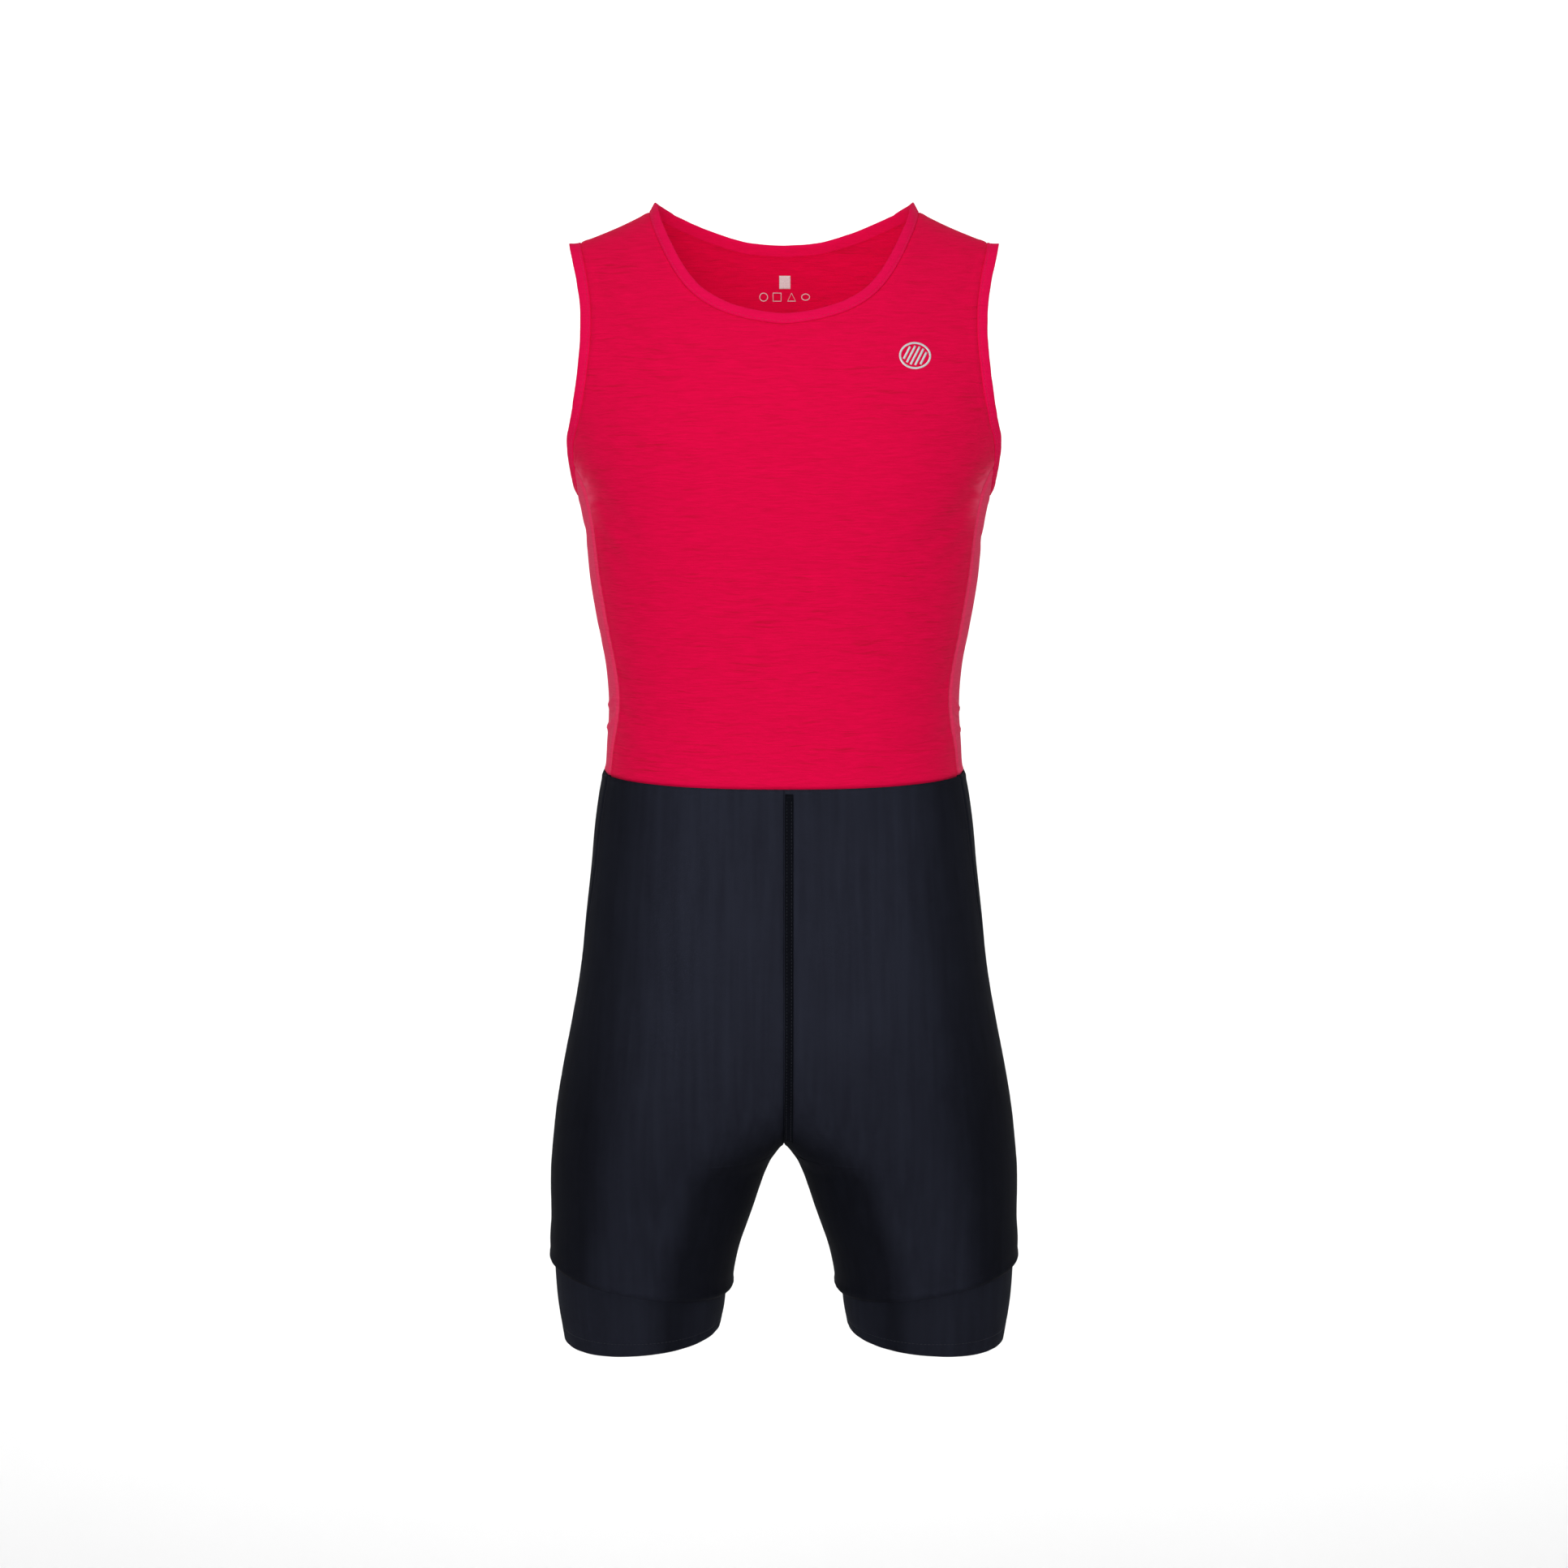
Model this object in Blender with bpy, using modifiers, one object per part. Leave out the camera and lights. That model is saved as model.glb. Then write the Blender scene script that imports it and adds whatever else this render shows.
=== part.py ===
# Rowing unisuit: a sleeveless knit top sewn to tight stretch shorts, filled out as when worn.
# Metres, +Z up. The front faces -Y and the wearer's left is +X.
# The origin lies between the shoulders, at the height of the neck's highest points.

import math

import bmesh
import bpy
import numpy as np

GARMENT = "rowing_unisuit"

# Driving dimensions
TOP_WALL = 0.0016
SHORTS_WALL = 0.0020
BINDING_WALL = 0.0022
TAPE_WALL = 0.0010
SEAM_GAP = 0.0003
TOP_HEM_HEIGHT = -0.4300
WAIST_DIP = 0.0018
SHORTS_STAND_OUT = 0.0014
BINDING_WIDTH = 0.0082
BINDING_STAND_OUT = 0.0005
ARMHOLE_FLARE = math.radians(12.0)
NECK_FLARE = math.radians(5.0)
SHOULDER_ROUNDING = 0.20
SHOULDER_POWER = 1.45
CROTCH_HEIGHT = -0.7205
LEG_START_HEIGHT = -0.5600
CROTCH_POWER = 5.0
BAND_TOP_HEIGHT = -0.8223
BAND_TOP_TILT = 0.163
HEM_HEIGHT = -0.8668
HEM_TILT = -0.078
HEM_FRONT_DROP = 0.0020
BAND_TUCK = 0.0040
TAPE_NEAR_EDGE = 0.0008
TAPE_WIDTH = 0.0062
TAPE_TOP_ROOM = 0.0030
SHOULDER_GAP = 0.0005
SIDE_SEAM_GAP = 0.0004
LEG_SQUARENESS = 2.15
BAND_MIDDLE = 0.002
PANEL_HALF_WIDTH = 0.150
SIDE_PANEL_WIDTH = 0.070
SHORTS_PANEL_WIDTH = 0.200
STAND_OUT_FADE = 0.050
MERGE_DISTANCE = 0.0001

# Rows and columns of the meshes; neighbours share their rows, so seams match point for point
TOP_COLUMN_COUNT = 10
TOP_ROW_COUNT = 26
SEAM_ROW_COUNT = 13
FRONT_NECK_ROW = 17
BACK_NECK_ROW = 20
RIDGE_ROW = 0.12
SIDE_COLUMN_COUNT = 6
SHORTS_COLUMN_COUNT = 13
TAPE_COLUMN = 0.04
LAST_COLUMN = 0.5
SHORTS_ROW_COUNT = 21
CROTCH_ROW = 13
LEG_ROW_POWER = 1.5
BAND_ROW_COUNT = 4
BINDING_ROW_COUNT = 3

# Shares of the climb above which a panel's rows bend to the ridge and to the armhole
RIDGE_BEND_SHARE = 0.55
SIDE_BEND_SHARE = 0.70

# Search for the place where a side seam meets the armhole
CROSSING_STEPS = 2000
CROSSING_ROOM = 0.006
SHARE_ROOM = 0.001
SLOPE_STEP = 0.0005

# Sections of the top and of the hips, from above the shoulders down to the crotch
TORSO_COLUMNS = ("height", "half_width", "front_depth", "back_depth", "middle", "squareness")
TORSO_ROWS = (
    (-0.7205, 0.1801, 0.0995, 0.1110, 0.002, 2.15),
    (-0.6900, 0.1768, 0.1035, 0.1215, 0.002, 2.15),
    (-0.6600, 0.1718, 0.1062, 0.1290, 0.002, 2.15),
    (-0.6200, 0.1639, 0.1085, 0.1335, 0.002, 2.20),
    (-0.5800, 0.1570, 0.1088, 0.1310, 0.001, 2.25),
    (-0.5400, 0.1529, 0.1070, 0.1230, 0.001, 2.30),
    (-0.5000, 0.1484, 0.1043, 0.1130, 0.000, 2.30),
    (-0.4680, 0.1452, 0.1020, 0.1040, 0.000, 2.30),
    (-0.4480, 0.1415, 0.1006, 0.0990, 0.000, 2.30),
    (-0.4300, 0.1376, 0.0997, 0.0950, 0.000, 2.30),
    (-0.4050, 0.1358, 0.0990, 0.0910, 0.000, 2.30),
    (-0.3750, 0.1343, 0.0990, 0.0890, 0.000, 2.30),
    (-0.3450, 0.1366, 0.1002, 0.0905, 0.001, 2.30),
    (-0.3150, 0.1424, 0.1032, 0.0960, 0.002, 2.30),
    (-0.2800, 0.1482, 0.1080, 0.1030, 0.003, 2.30),
    (-0.2450, 0.1517, 0.1130, 0.1090, 0.004, 2.35),
    (-0.2160, 0.1574, 0.1160, 0.1130, 0.005, 2.35),
    (-0.1940, 0.1632, 0.1170, 0.1155, 0.006, 2.40),
    (-0.1700, 0.1710, 0.1165, 0.1180, 0.007, 2.40),
    (-0.1400, 0.1800, 0.1145, 0.1200, 0.008, 2.45),
    (-0.1000, 0.1880, 0.1100, 0.1210, 0.010, 2.50),
    (-0.0500, 0.1900, 0.1040, 0.1200, 0.012, 2.50),
    (0.0300, 0.1900, 0.1000, 0.1180, 0.012, 2.50),
)

# Ridge of the shoulders, where the front and the back meet
SHOULDER_COLUMNS = ("across", "height")
SHOULDER_ROWS = (
    (0.000, 0.0240),
    (0.050, 0.0180),
    (0.090, 0.0042),
    (0.108, -0.0055),
    (0.126, -0.0141),
    (0.141, -0.0203),
    (0.155, -0.0256),
    (0.180, -0.0350),
)

# Sections of one leg below the crotch
LEG_COLUMNS = ("height", "inner", "outer", "front_depth", "back_depth", "middle")
LEG_ROWS = (
    (-0.8760, 0.0475, 0.1735, 0.0790, 0.0770, 0.002),
    (-0.8400, 0.0450, 0.1792, 0.0822, 0.0802, 0.002),
    (-0.8223, 0.0410, 0.1815, 0.0845, 0.0830, 0.002),
    (-0.8050, 0.0385, 0.1824, 0.0865, 0.0868, 0.002),
    (-0.7870, 0.0340, 0.1814, 0.0885, 0.0912, 0.002),
    (-0.7740, 0.0290, 0.1814, 0.0905, 0.0945, 0.002),
    (-0.7610, 0.0238, 0.1816, 0.0927, 0.0980, 0.002),
    (-0.7480, 0.0188, 0.1815, 0.0951, 0.1018, 0.002),
    (-0.7350, 0.0130, 0.1811, 0.0973, 0.1060, 0.002),
    (-0.7280, 0.0086, 0.1806, 0.0984, 0.1084, 0.002),
    (-0.7205, 0.0000, 0.1801, 0.0995, 0.1110, 0.002),
)

# Sections of one leg band, smaller than the leg cloth that bulges over it
BAND_COLUMNS = ("travel", "inner", "outer", "front_depth", "back_depth")
BAND_ROWS = (
    (0.0, 0.0450, 0.1790, 0.0818, 0.0803),
    (0.5, 0.0463, 0.1768, 0.0805, 0.0788),
    (1.0, 0.0495, 0.1719, 0.0792, 0.0772),
)

# Sewn edge of one armhole, round from the shoulder down the front and up the back.
# Where it turns under the arm, an angle round from the centre front stands for the width.
# A row with no height lies on the shoulder's ridge.
EDGE_COLUMNS = ("across", "height")
TURN_COLUMNS = ("angle", "height")
ARMHOLE_FRONT_ROWS = (
    (0.1550, None),
    (0.1530, -0.0340),
    (0.1480, -0.0560),
    (0.1450, -0.0780),
    (0.1448, -0.0960),
    (0.1462, -0.1140),
    (0.1498, -0.1400),
    (0.1538, -0.1600),
    (0.1588, -0.1800),
)
ARMHOLE_TURN_ROWS = (
    (75.5, -0.1950),
    (80.0, -0.2080),
    (85.0, -0.2150),
    (91.0, -0.2170),
    (97.0, -0.2140),
    (102.0, -0.2050),
    (106.0, -0.1910),
)
ARMHOLE_BACK_ROWS = (
    (0.1585, -0.1730),
    (0.1550, -0.1500),
    (0.1518, -0.1250),
    (0.1500, -0.1000),
    (0.1495, -0.0760),
    (0.1507, -0.0540),
    (0.1535, -0.0350),
    (0.1550, None),
)

# Sewn edge of the neck, from the centre to the shoulder
FRONT_NECK_ROWS = (
    (0.0000, -0.0880),
    (0.0270, -0.0842),
    (0.0483, -0.0775),
    (0.0609, -0.0705),
    (0.0710, -0.0620),
    (0.0795, -0.0515),
    (0.0862, -0.0405),
    (0.0925, -0.0280),
    (0.0975, -0.0170),
    (0.1020, None),
)
BACK_NECK_ROWS = (
    (0.0000, -0.0325),
    (0.0300, -0.0300),
    (0.0550, -0.0230),
    (0.0780, -0.0140),
    (0.0930, -0.0070),
    (0.1020, None),
)

# Angle, in degrees round from the centre front, of the seam of front and side panel
SIDE_SEAM_COLUMNS = ("height", "front_angle", "back_angle")
SIDE_SEAM_ROWS = (
    (-0.4300, 74.0, 105.0),
    (-0.4080, 72.5, 107.0),
    (-0.3900, 69.5, 109.0),
    (-0.3680, 67.5, 110.0),
    (-0.3400, 68.3, 109.5),
    (-0.3000, 68.5, 108.5),
    (-0.2460, 69.5, 108.0),
    (-0.2240, 69.0, 107.5),
    (-0.2120, 69.8, 107.0),
    (-0.2040, 71.8, 106.5),
    (-0.1930, 75.5, 106.0),
)

# Angle of the side seam of the shorts
SHORTS_SEAM_COLUMNS = ("height", "angle")
SHORTS_SEAM_ROWS = (
    (-0.8760, 92.0),
    (-0.7205, 92.0),
    (-0.6400, 91.0),
    (-0.5900, 87.0),
    (-0.5400, 79.0),
    (-0.4800, 74.5),
    (-0.4300, 73.5),
)

MATERIAL_COLUMNS = ("name", "red", "green", "blue", "roughness")
MATERIAL_ROWS = (
    ("red_knit", 0.700, 0.004, 0.052, 0.80),
    ("red_side_knit", 0.740, 0.030, 0.100, 0.80),
    ("red_binding", 0.760, 0.008, 0.075, 0.70),
    ("navy_lycra", 0.013, 0.015, 0.023, 0.42),
    ("navy_band", 0.012, 0.014, 0.021, 0.50),
    ("dark_tape", 0.006, 0.007, 0.011, 0.60),
)


class Curve:
    """Rows read as smooth curves of their first column."""

    def __init__(self, names, rows):
        values = np.array(rows, dtype=float)
        self.names = names
        self.values = values[np.argsort(values[:, 0])]
        self.keys = self.values[:, 0]
        self.slopes = np.gradient(self.values, self.keys, axis=0)

    def read(self, name, key):
        column = self.names.index(name)
        key = min(max(key, self.keys[0]), self.keys[-1])
        row = min(max(int(np.searchsorted(self.keys, key)) - 1, 0), len(self.keys) - 2)
        step = self.keys[row + 1] - self.keys[row]
        t = (key - self.keys[row]) / step
        low, high = self.values[row, column], self.values[row + 1, column]
        rise, fall = self.slopes[row, column] * step, self.slopes[row + 1, column] * step
        return ((2 * t**3 - 3 * t**2 + 1) * low + (t**3 - 2 * t**2 + t) * rise
                + (3 * t**2 - 2 * t**3) * high + (t**3 - t**2) * fall)


TORSO = Curve(TORSO_COLUMNS, TORSO_ROWS)
SHOULDER = Curve(SHOULDER_COLUMNS, SHOULDER_ROWS)
LEG = Curve(LEG_COLUMNS, LEG_ROWS)
BAND = Curve(BAND_COLUMNS, BAND_ROWS)
SIDE_SEAM = Curve(SIDE_SEAM_COLUMNS, SIDE_SEAM_ROWS)
SHORTS_SEAM = Curve(SHORTS_SEAM_COLUMNS, SHORTS_SEAM_ROWS)


def shoulder_height(across):
    return SHOULDER.read("height", abs(across))


def power_cosine(angle, squareness):
    cosine = math.cos(angle)
    return math.copysign(abs(cosine) ** (2.0 / squareness), cosine)


def torso_point(angle, height):
    """Outer face of the top at an angle round from the centre front."""
    half_width = TORSO.read("half_width", height)
    squareness = TORSO.read("squareness", height)
    middle = TORSO.read("middle", height)
    across = half_width * power_cosine(angle - math.pi / 2, squareness)
    below = max(shoulder_height(across) - height, 0.0)
    fraction = min(below / SHOULDER_ROUNDING, 1.0)
    rounding = math.sqrt(1.0 - (1.0 - fraction) ** SHOULDER_POWER)
    forward = power_cosine(angle, squareness)
    if forward >= 0.0:
        depth = TORSO.read("front_depth", height) + middle
    else:
        depth = TORSO.read("back_depth", height) - middle
    return np.array((across, middle - depth * rounding * forward, height))


def torso_angle(across, height, facing):
    """Angle at which the top's outer face stands this far across."""
    half_width = TORSO.read("half_width", height)
    squareness = TORSO.read("squareness", height)
    ratio = min(abs(across) / half_width, 1.0) ** (squareness / 2.0)
    angle = math.asin(ratio)
    return angle if facing > 0 else math.pi - angle


class Edge:
    """A sewn edge through places on the top, read by the share travelled along it."""

    def __init__(self, places):
        travel = [0.0]
        solid = [torso_point(angle, height) for angle, height in places]
        for before, after in zip(solid, solid[1:]):
            travel.append(travel[-1] + float(np.linalg.norm(after - before)))
        rows = [(step / travel[-1], angle, height) for step, (angle, height) in zip(travel, places)]
        self.curve = Curve(("travel", "angle", "height"), rows)

    def read(self, travel):
        return self.curve.read("angle", travel), self.curve.read("height", travel)


def edge_places(rows, facing):
    """Places (angle, height) of an edge's rows on the front (1) or the back (-1)."""
    places = []
    for row in rows:
        values = dict(zip(EDGE_COLUMNS, row))
        height = values["height"]
        if height is None:
            height = shoulder_height(values["across"])
        places.append((torso_angle(values["across"], height, facing), height))
    return places


def turn_places(rows):
    """Places (angle, height) of rows under the arm."""
    places = []
    for row in rows:
        values = dict(zip(TURN_COLUMNS, row))
        places.append((math.radians(values["angle"]), values["height"]))
    return places


ARMHOLE = Edge(edge_places(ARMHOLE_FRONT_ROWS, 1)
               + turn_places(ARMHOLE_TURN_ROWS)
               + edge_places(ARMHOLE_BACK_ROWS, -1))
FRONT_NECK = Edge(edge_places(FRONT_NECK_ROWS, 1))
BACK_NECK = Edge(edge_places(BACK_NECK_ROWS, -1))


def mix(low, high, share):
    return low + (high - low) * share


def smooth_step(value):
    value = min(max(value, 0.0), 1.0)
    return value * value * (3.0 - 2.0 * value)


def even(count):
    """Shares from 0 to 1 in equal steps."""
    return [step / count for step in range(count + 1)]


def seam_angle(height, facing):
    name = "front_angle" if facing > 0 else "back_angle"
    return math.radians(SIDE_SEAM.read(name, height))


def crossing(facing):
    """Share of the armhole's edge at which the side panel's seam reaches it."""
    best, share = math.pi, 0.0
    for travel in even(CROSSING_STEPS):
        angle, height = ARMHOLE.read(travel)
        same_side = (math.pi / 2 - angle) * facing > 0
        if same_side and height < SIDE_SEAM_ROWS[-1][0] + CROSSING_ROOM:
            miss = abs(angle - seam_angle(height, facing))
            if miss < best:
                best, share = miss, travel
    return share


FRONT_CROSSING = crossing(1)
BACK_CROSSING = crossing(-1)

# Rows of the top are even, with one more close under the shoulder's ridge
TOP_ROWS = [row / TOP_ROW_COUNT for row in range(TOP_ROW_COUNT)]
TOP_ROWS += [(TOP_ROW_COUNT - RIDGE_ROW) / TOP_ROW_COUNT, 1.0]
SEAM_SHARE = SEAM_ROW_COUNT / TOP_ROW_COUNT


def waist_height(angle):
    return TOP_HEM_HEIGHT - WAIST_DIP * max(math.cos(angle), 0.0)


def centre_place(travel, facing):
    """Place on the panel's centre line and then along the neck, from the waist up."""
    neck = FRONT_NECK if facing > 0 else BACK_NECK
    straight = (FRONT_NECK_ROW if facing > 0 else BACK_NECK_ROW) / TOP_ROW_COUNT
    if travel > straight:
        return neck.read((travel - straight) / (1.0 - straight))
    angle = 0.0 if facing > 0 else math.pi
    return angle, mix(waist_height(angle), neck.read(0.0)[1], travel / straight)


def armhole_travel(climb, facing):
    """Share of the armhole's edge, from the side seam (0) up to the shoulder (1)."""
    if facing > 0:
        return mix(FRONT_CROSSING, 0.0, climb)
    return mix(BACK_CROSSING, 1.0, climb)


def outer_place(travel, facing):
    """Place along the side seam and then along the armhole, from the waist up."""
    if travel >= SEAM_SHARE:
        climb = (travel - SEAM_SHARE) / (1.0 - SEAM_SHARE)
        return ARMHOLE.read(armhole_travel(climb, facing))
    bottom = waist_height(seam_angle(TOP_HEM_HEIGHT, facing))
    top = ARMHOLE.read(armhole_travel(0.0, facing))[1]
    height = mix(bottom, top, travel / SEAM_SHARE)
    return seam_angle(height, facing), height


def ridge_over(angle, height):
    return shoulder_height(torso_point(angle, height)[0])


def top_place(side, travel, facing):
    """Place on the front or back of the top, from its centre (0) to its outer edge (1)."""
    inner_angle, inner_height = centre_place(travel, facing)
    outer_angle, outer_height = outer_place(travel, facing)
    angle = mix(inner_angle, outer_angle, side)
    height = mix(inner_height, outer_height, side)
    flat_ridge = mix(ridge_over(inner_angle, inner_height), ridge_over(outer_angle, outer_height), side)
    bend = ridge_over(angle, height) - flat_ridge
    return angle, height + bend * smooth_step((travel - RIDGE_BEND_SHARE) / (1.0 - RIDGE_BEND_SHARE))


def surface_normal(point_at, first, second):
    """Normal of a surface at two shares, by small steps along each."""
    along_first = point_at(first + SLOPE_STEP, second) - point_at(first - SLOPE_STEP, second)
    along_second = point_at(first, second + SLOPE_STEP) - point_at(first, second - SLOPE_STEP)
    normal = np.cross(along_first, along_second)
    return normal / np.linalg.norm(normal)


def grid_mesh(name, columns, rows, point_at, closed=False, turned=False):
    """Open surface of quads through point_at(column share, row share)."""
    mesh = bmesh.new()
    lines = []
    for row in rows:
        lines.append([mesh.verts.new(point_at(column, row)) for column in columns])
    width = len(columns)
    for below, above in zip(lines, lines[1:]):
        for column in range(width if closed else width - 1):
            after = (column + 1) % width
            mesh.faces.new((below[column], below[after], above[after], above[column]))
    if turned:
        bmesh.ops.reverse_faces(mesh, faces=mesh.faces)
    data = bpy.data.meshes.new(name)
    mesh.to_mesh(data)
    mesh.free()
    data.shade_smooth()
    return data


def make_material(row):
    values = dict(zip(MATERIAL_COLUMNS, row))
    material = bpy.data.materials.new(values["name"])
    material.use_nodes = True
    colour = (values["red"], values["green"], values["blue"], 1.0)
    shader = material.node_tree.nodes["Principled BSDF"]
    shader.inputs["Base Color"].default_value = colour
    shader.inputs["Roughness"].default_value = values["roughness"]
    shader.inputs["Metallic"].default_value = 0.0
    material.diffuse_color = colour
    return material


def add_piece(name, data, material, wall, mirrored=False):
    """Object with a cloth wall that grows inwards from the outer face."""
    piece = bpy.data.objects.new(name, data)
    data.materials.append(material)
    bpy.data.collections[GARMENT].objects.link(piece)
    if mirrored:
        mirror = piece.modifiers.new("other_half", "MIRROR")
        mirror.use_axis = (True, False, False)
        mirror.merge_threshold = MERGE_DISTANCE
    solid = piece.modifiers.new("wall", "SOLIDIFY")
    solid.thickness = wall
    solid.offset = -1.0


def add_pair(stem, data, material, wall):
    """The left piece, and the same one mirrored for the right."""
    opposite = data.copy()
    mesh = bmesh.new()
    mesh.from_mesh(opposite)
    for vertex in mesh.verts:
        vertex.co.x = -vertex.co.x
    bmesh.ops.reverse_faces(mesh, faces=mesh.faces)
    mesh.to_mesh(opposite)
    mesh.free()
    add_piece(stem + "_left", data, material, wall)
    add_piece(stem + "_right", opposite, material, wall)


def top_panel(name, facing, material):
    """Front or back of the top: half a panel, mirrored at the centre."""
    def point_at(side, travel):
        seam_room = SIDE_SEAM_GAP / 2 / PANEL_HALF_WIDTH if travel < SEAM_SHARE + SHARE_ROOM else 0.0
        angle, height = top_place(side * (1.0 - seam_room), travel, facing)
        point = torso_point(angle, height)
        if travel == 0.0:
            point[2] += SEAM_GAP / 2
        if travel == 1.0:
            point[1] -= facing * SHOULDER_GAP / 2
        if side == 0.0 and angle in (0.0, math.pi):
            point[0] = 0.0
        return point

    data = grid_mesh(name, even(TOP_COLUMN_COUNT), TOP_ROWS, point_at, turned=facing < 0)
    add_piece(name, data, material, TOP_WALL, mirrored=True)


def side_place(side, travel):
    """Place on a side panel, from its front seam (0) to its back seam (1)."""
    front_angle, front_height = outer_place(travel * SEAM_SHARE, 1)
    back_angle, back_height = outer_place(travel * SEAM_SHARE, -1)
    angle = mix(front_angle, back_angle, side)
    height = mix(front_height, back_height, side)
    top_angle, top_height = ARMHOLE.read(mix(FRONT_CROSSING, BACK_CROSSING, side))
    flat_angle = mix(outer_place(SEAM_SHARE, 1)[0], outer_place(SEAM_SHARE, -1)[0], side)
    flat_height = mix(outer_place(SEAM_SHARE, 1)[1], outer_place(SEAM_SHARE, -1)[1], side)
    sway = smooth_step((travel - SIDE_BEND_SHARE) / (1.0 - SIDE_BEND_SHARE))
    return angle + (top_angle - flat_angle) * sway, height + (top_height - flat_height) * travel**2


def side_panels(material):
    room = SIDE_SEAM_GAP / 2 / SIDE_PANEL_WIDTH

    def point_at(side, travel):
        point = torso_point(*side_place(mix(room, 1.0 - room, side), travel))
        if travel == 0.0:
            point[2] += SEAM_GAP / 2
        return point

    data = grid_mesh("side_panel", even(SIDE_COLUMN_COUNT), even(SEAM_ROW_COUNT), point_at)
    add_pair("side_panel", data, material, TOP_WALL)


def stand_share(height):
    """The shorts stand out over the top's edge at the waist and blend in below it."""
    return 1.0 - smooth_step((TOP_HEM_HEIGHT - height) / STAND_OUT_FADE)


def shorts_section(height):
    """Leg centre, half width, depths, middle, squareness and starting angle at a height."""
    if height < CROTCH_HEIGHT:
        inner, outer = LEG.read("inner", height), LEG.read("outer", height)
        return ((inner + outer) / 2, (outer - inner) / 2, LEG.read("front_depth", height),
                LEG.read("back_depth", height), LEG.read("middle", height), LEG_SQUARENESS, math.pi)
    stand_out = SHORTS_STAND_OUT * stand_share(height)
    outer = TORSO.read("half_width", height) + stand_out
    squareness = TORSO.read("squareness", height)
    fall = min(max((LEG_START_HEIGHT - height) / (LEG_START_HEIGHT - CROTCH_HEIGHT), 0.0), 1.0)
    lean = fall ** (CROTCH_POWER / 2.0)
    ratio = lean ** (2.0 / squareness)
    centre = outer * ratio / (1.0 + ratio)
    return (centre, outer - centre, TORSO.read("front_depth", height) + stand_out,
            TORSO.read("back_depth", height) + stand_out, TORSO.read("middle", height),
            squareness, math.pi / 2 + math.asin(lean))


def section_angle(across, centre, half_width, squareness):
    """Angle at which a section of the shorts stands this far across."""
    ratio = (across - centre) / half_width
    return math.acos(math.copysign(abs(ratio) ** (squareness / 2.0), ratio))


def shorts_point(sweep, travel, facing):
    """Outer face of the shorts, from the centre or inside leg (0) to the side seam (1)."""
    height, tilt = shorts_row(travel)
    centre, half_width, front, back, middle, squareness, start = shorts_section(height)
    finish = facing * (math.pi / 2 - math.radians(SHORTS_SEAM.read("angle", height)))
    angle = mix(start, finish, sweep)
    if sweep == TAPE_COLUMN and travel < CROTCH_ROW / SHORTS_ROW_COUNT:
        angle = section_angle(TAPE_NEAR_EDGE + TAPE_WIDTH + SEAM_GAP, centre, half_width, squareness)
    across = centre + half_width * power_cosine(angle, squareness)
    forward = facing * power_cosine(angle - math.pi / 2, squareness)
    along = middle - forward * (front + middle if forward > 0 else back - middle)
    dip = WAIST_DIP * max(math.sin(angle), 0.0) * stand_share(height) if facing > 0 else 0.0
    return np.array((across, along, height + tilt * (across - centre) - dip))


def shorts_row(travel):
    """Height and tilt of a row: rows crowd at the crotch, where the seam turns under."""
    crotch = CROTCH_ROW / SHORTS_ROW_COUNT
    if travel <= crotch:
        fall = math.sin(travel / crotch * math.pi / 2)
        return mix(TOP_HEM_HEIGHT, CROTCH_HEIGHT, fall), 0.0
    down = (travel - crotch) / (1.0 - crotch)
    return mix(CROTCH_HEIGHT, BAND_TOP_HEIGHT, down**LEG_ROW_POWER), BAND_TOP_TILT * smooth_step(down)


def shorts_panel_point(sweep, travel, facing):
    room = SEAM_GAP / 2 / SHORTS_PANEL_WIDTH
    inside = {0.0: room, 1.0: 1.0 - room}.get(sweep, sweep)
    point = shorts_point(inside, travel, facing)
    if travel == 0.0:
        point[2] -= SEAM_GAP / 2
    if sweep == 0.0:
        point[0] = max(point[0], SEAM_GAP / 2)
    return point


def shorts_columns():
    """Column shares of a shorts panel: the first, with the tape, and the last are narrow."""
    wide = SHORTS_COLUMN_COUNT - 2
    steps = [mix(TAPE_COLUMN, 1.0, column / (wide + LAST_COLUMN)) for column in range(wide + 1)]
    return [0.0] + steps + [1.0]


def shorts_panels(material):
    for facing, stem in ((1, "shorts_front"), (-1, "shorts_back")):
        def point_at(sweep, travel):
            return shorts_panel_point(sweep, travel, facing)

        rows = even(SHORTS_ROW_COUNT)
        data = grid_mesh(stem, shorts_columns(), rows, point_at, turned=facing > 0)
        add_pair(stem, data, material, SHORTS_WALL)


def front_tape(material):
    """Flat strip beside the centre front seam, made from the left panel's first columns."""
    rows = [row / SHORTS_ROW_COUNT for row in range(CROTCH_ROW - 1)]

    def on_panel(across, travel):
        inner = shorts_panel_point(0.0, travel, 1)
        outer = shorts_panel_point(TAPE_COLUMN, travel, 1)
        return mix(inner, outer, (across - inner[0]) / (outer[0] - inner[0]))

    def point_at(side, travel):
        across = TAPE_NEAR_EDGE + TAPE_WIDTH * side
        low = on_panel(across, max(travel - SLOPE_STEP, 0.0))
        high = on_panel(across, travel + SLOPE_STEP)
        sideways = on_panel(across + SLOPE_STEP, travel) - on_panel(across - SLOPE_STEP, travel)
        outward = np.cross(high - low, sideways)
        outward = outward / np.linalg.norm(outward)
        point = on_panel(across, travel) + outward * (SEAM_GAP + TAPE_WALL)
        if travel == 0.0:
            point[2] -= TAPE_TOP_ROOM
        return point

    data = grid_mesh("centre_front_tape", even(1), rows, point_at, turned=True)
    add_piece("centre_front_tape", data, material, TAPE_WALL)


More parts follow.
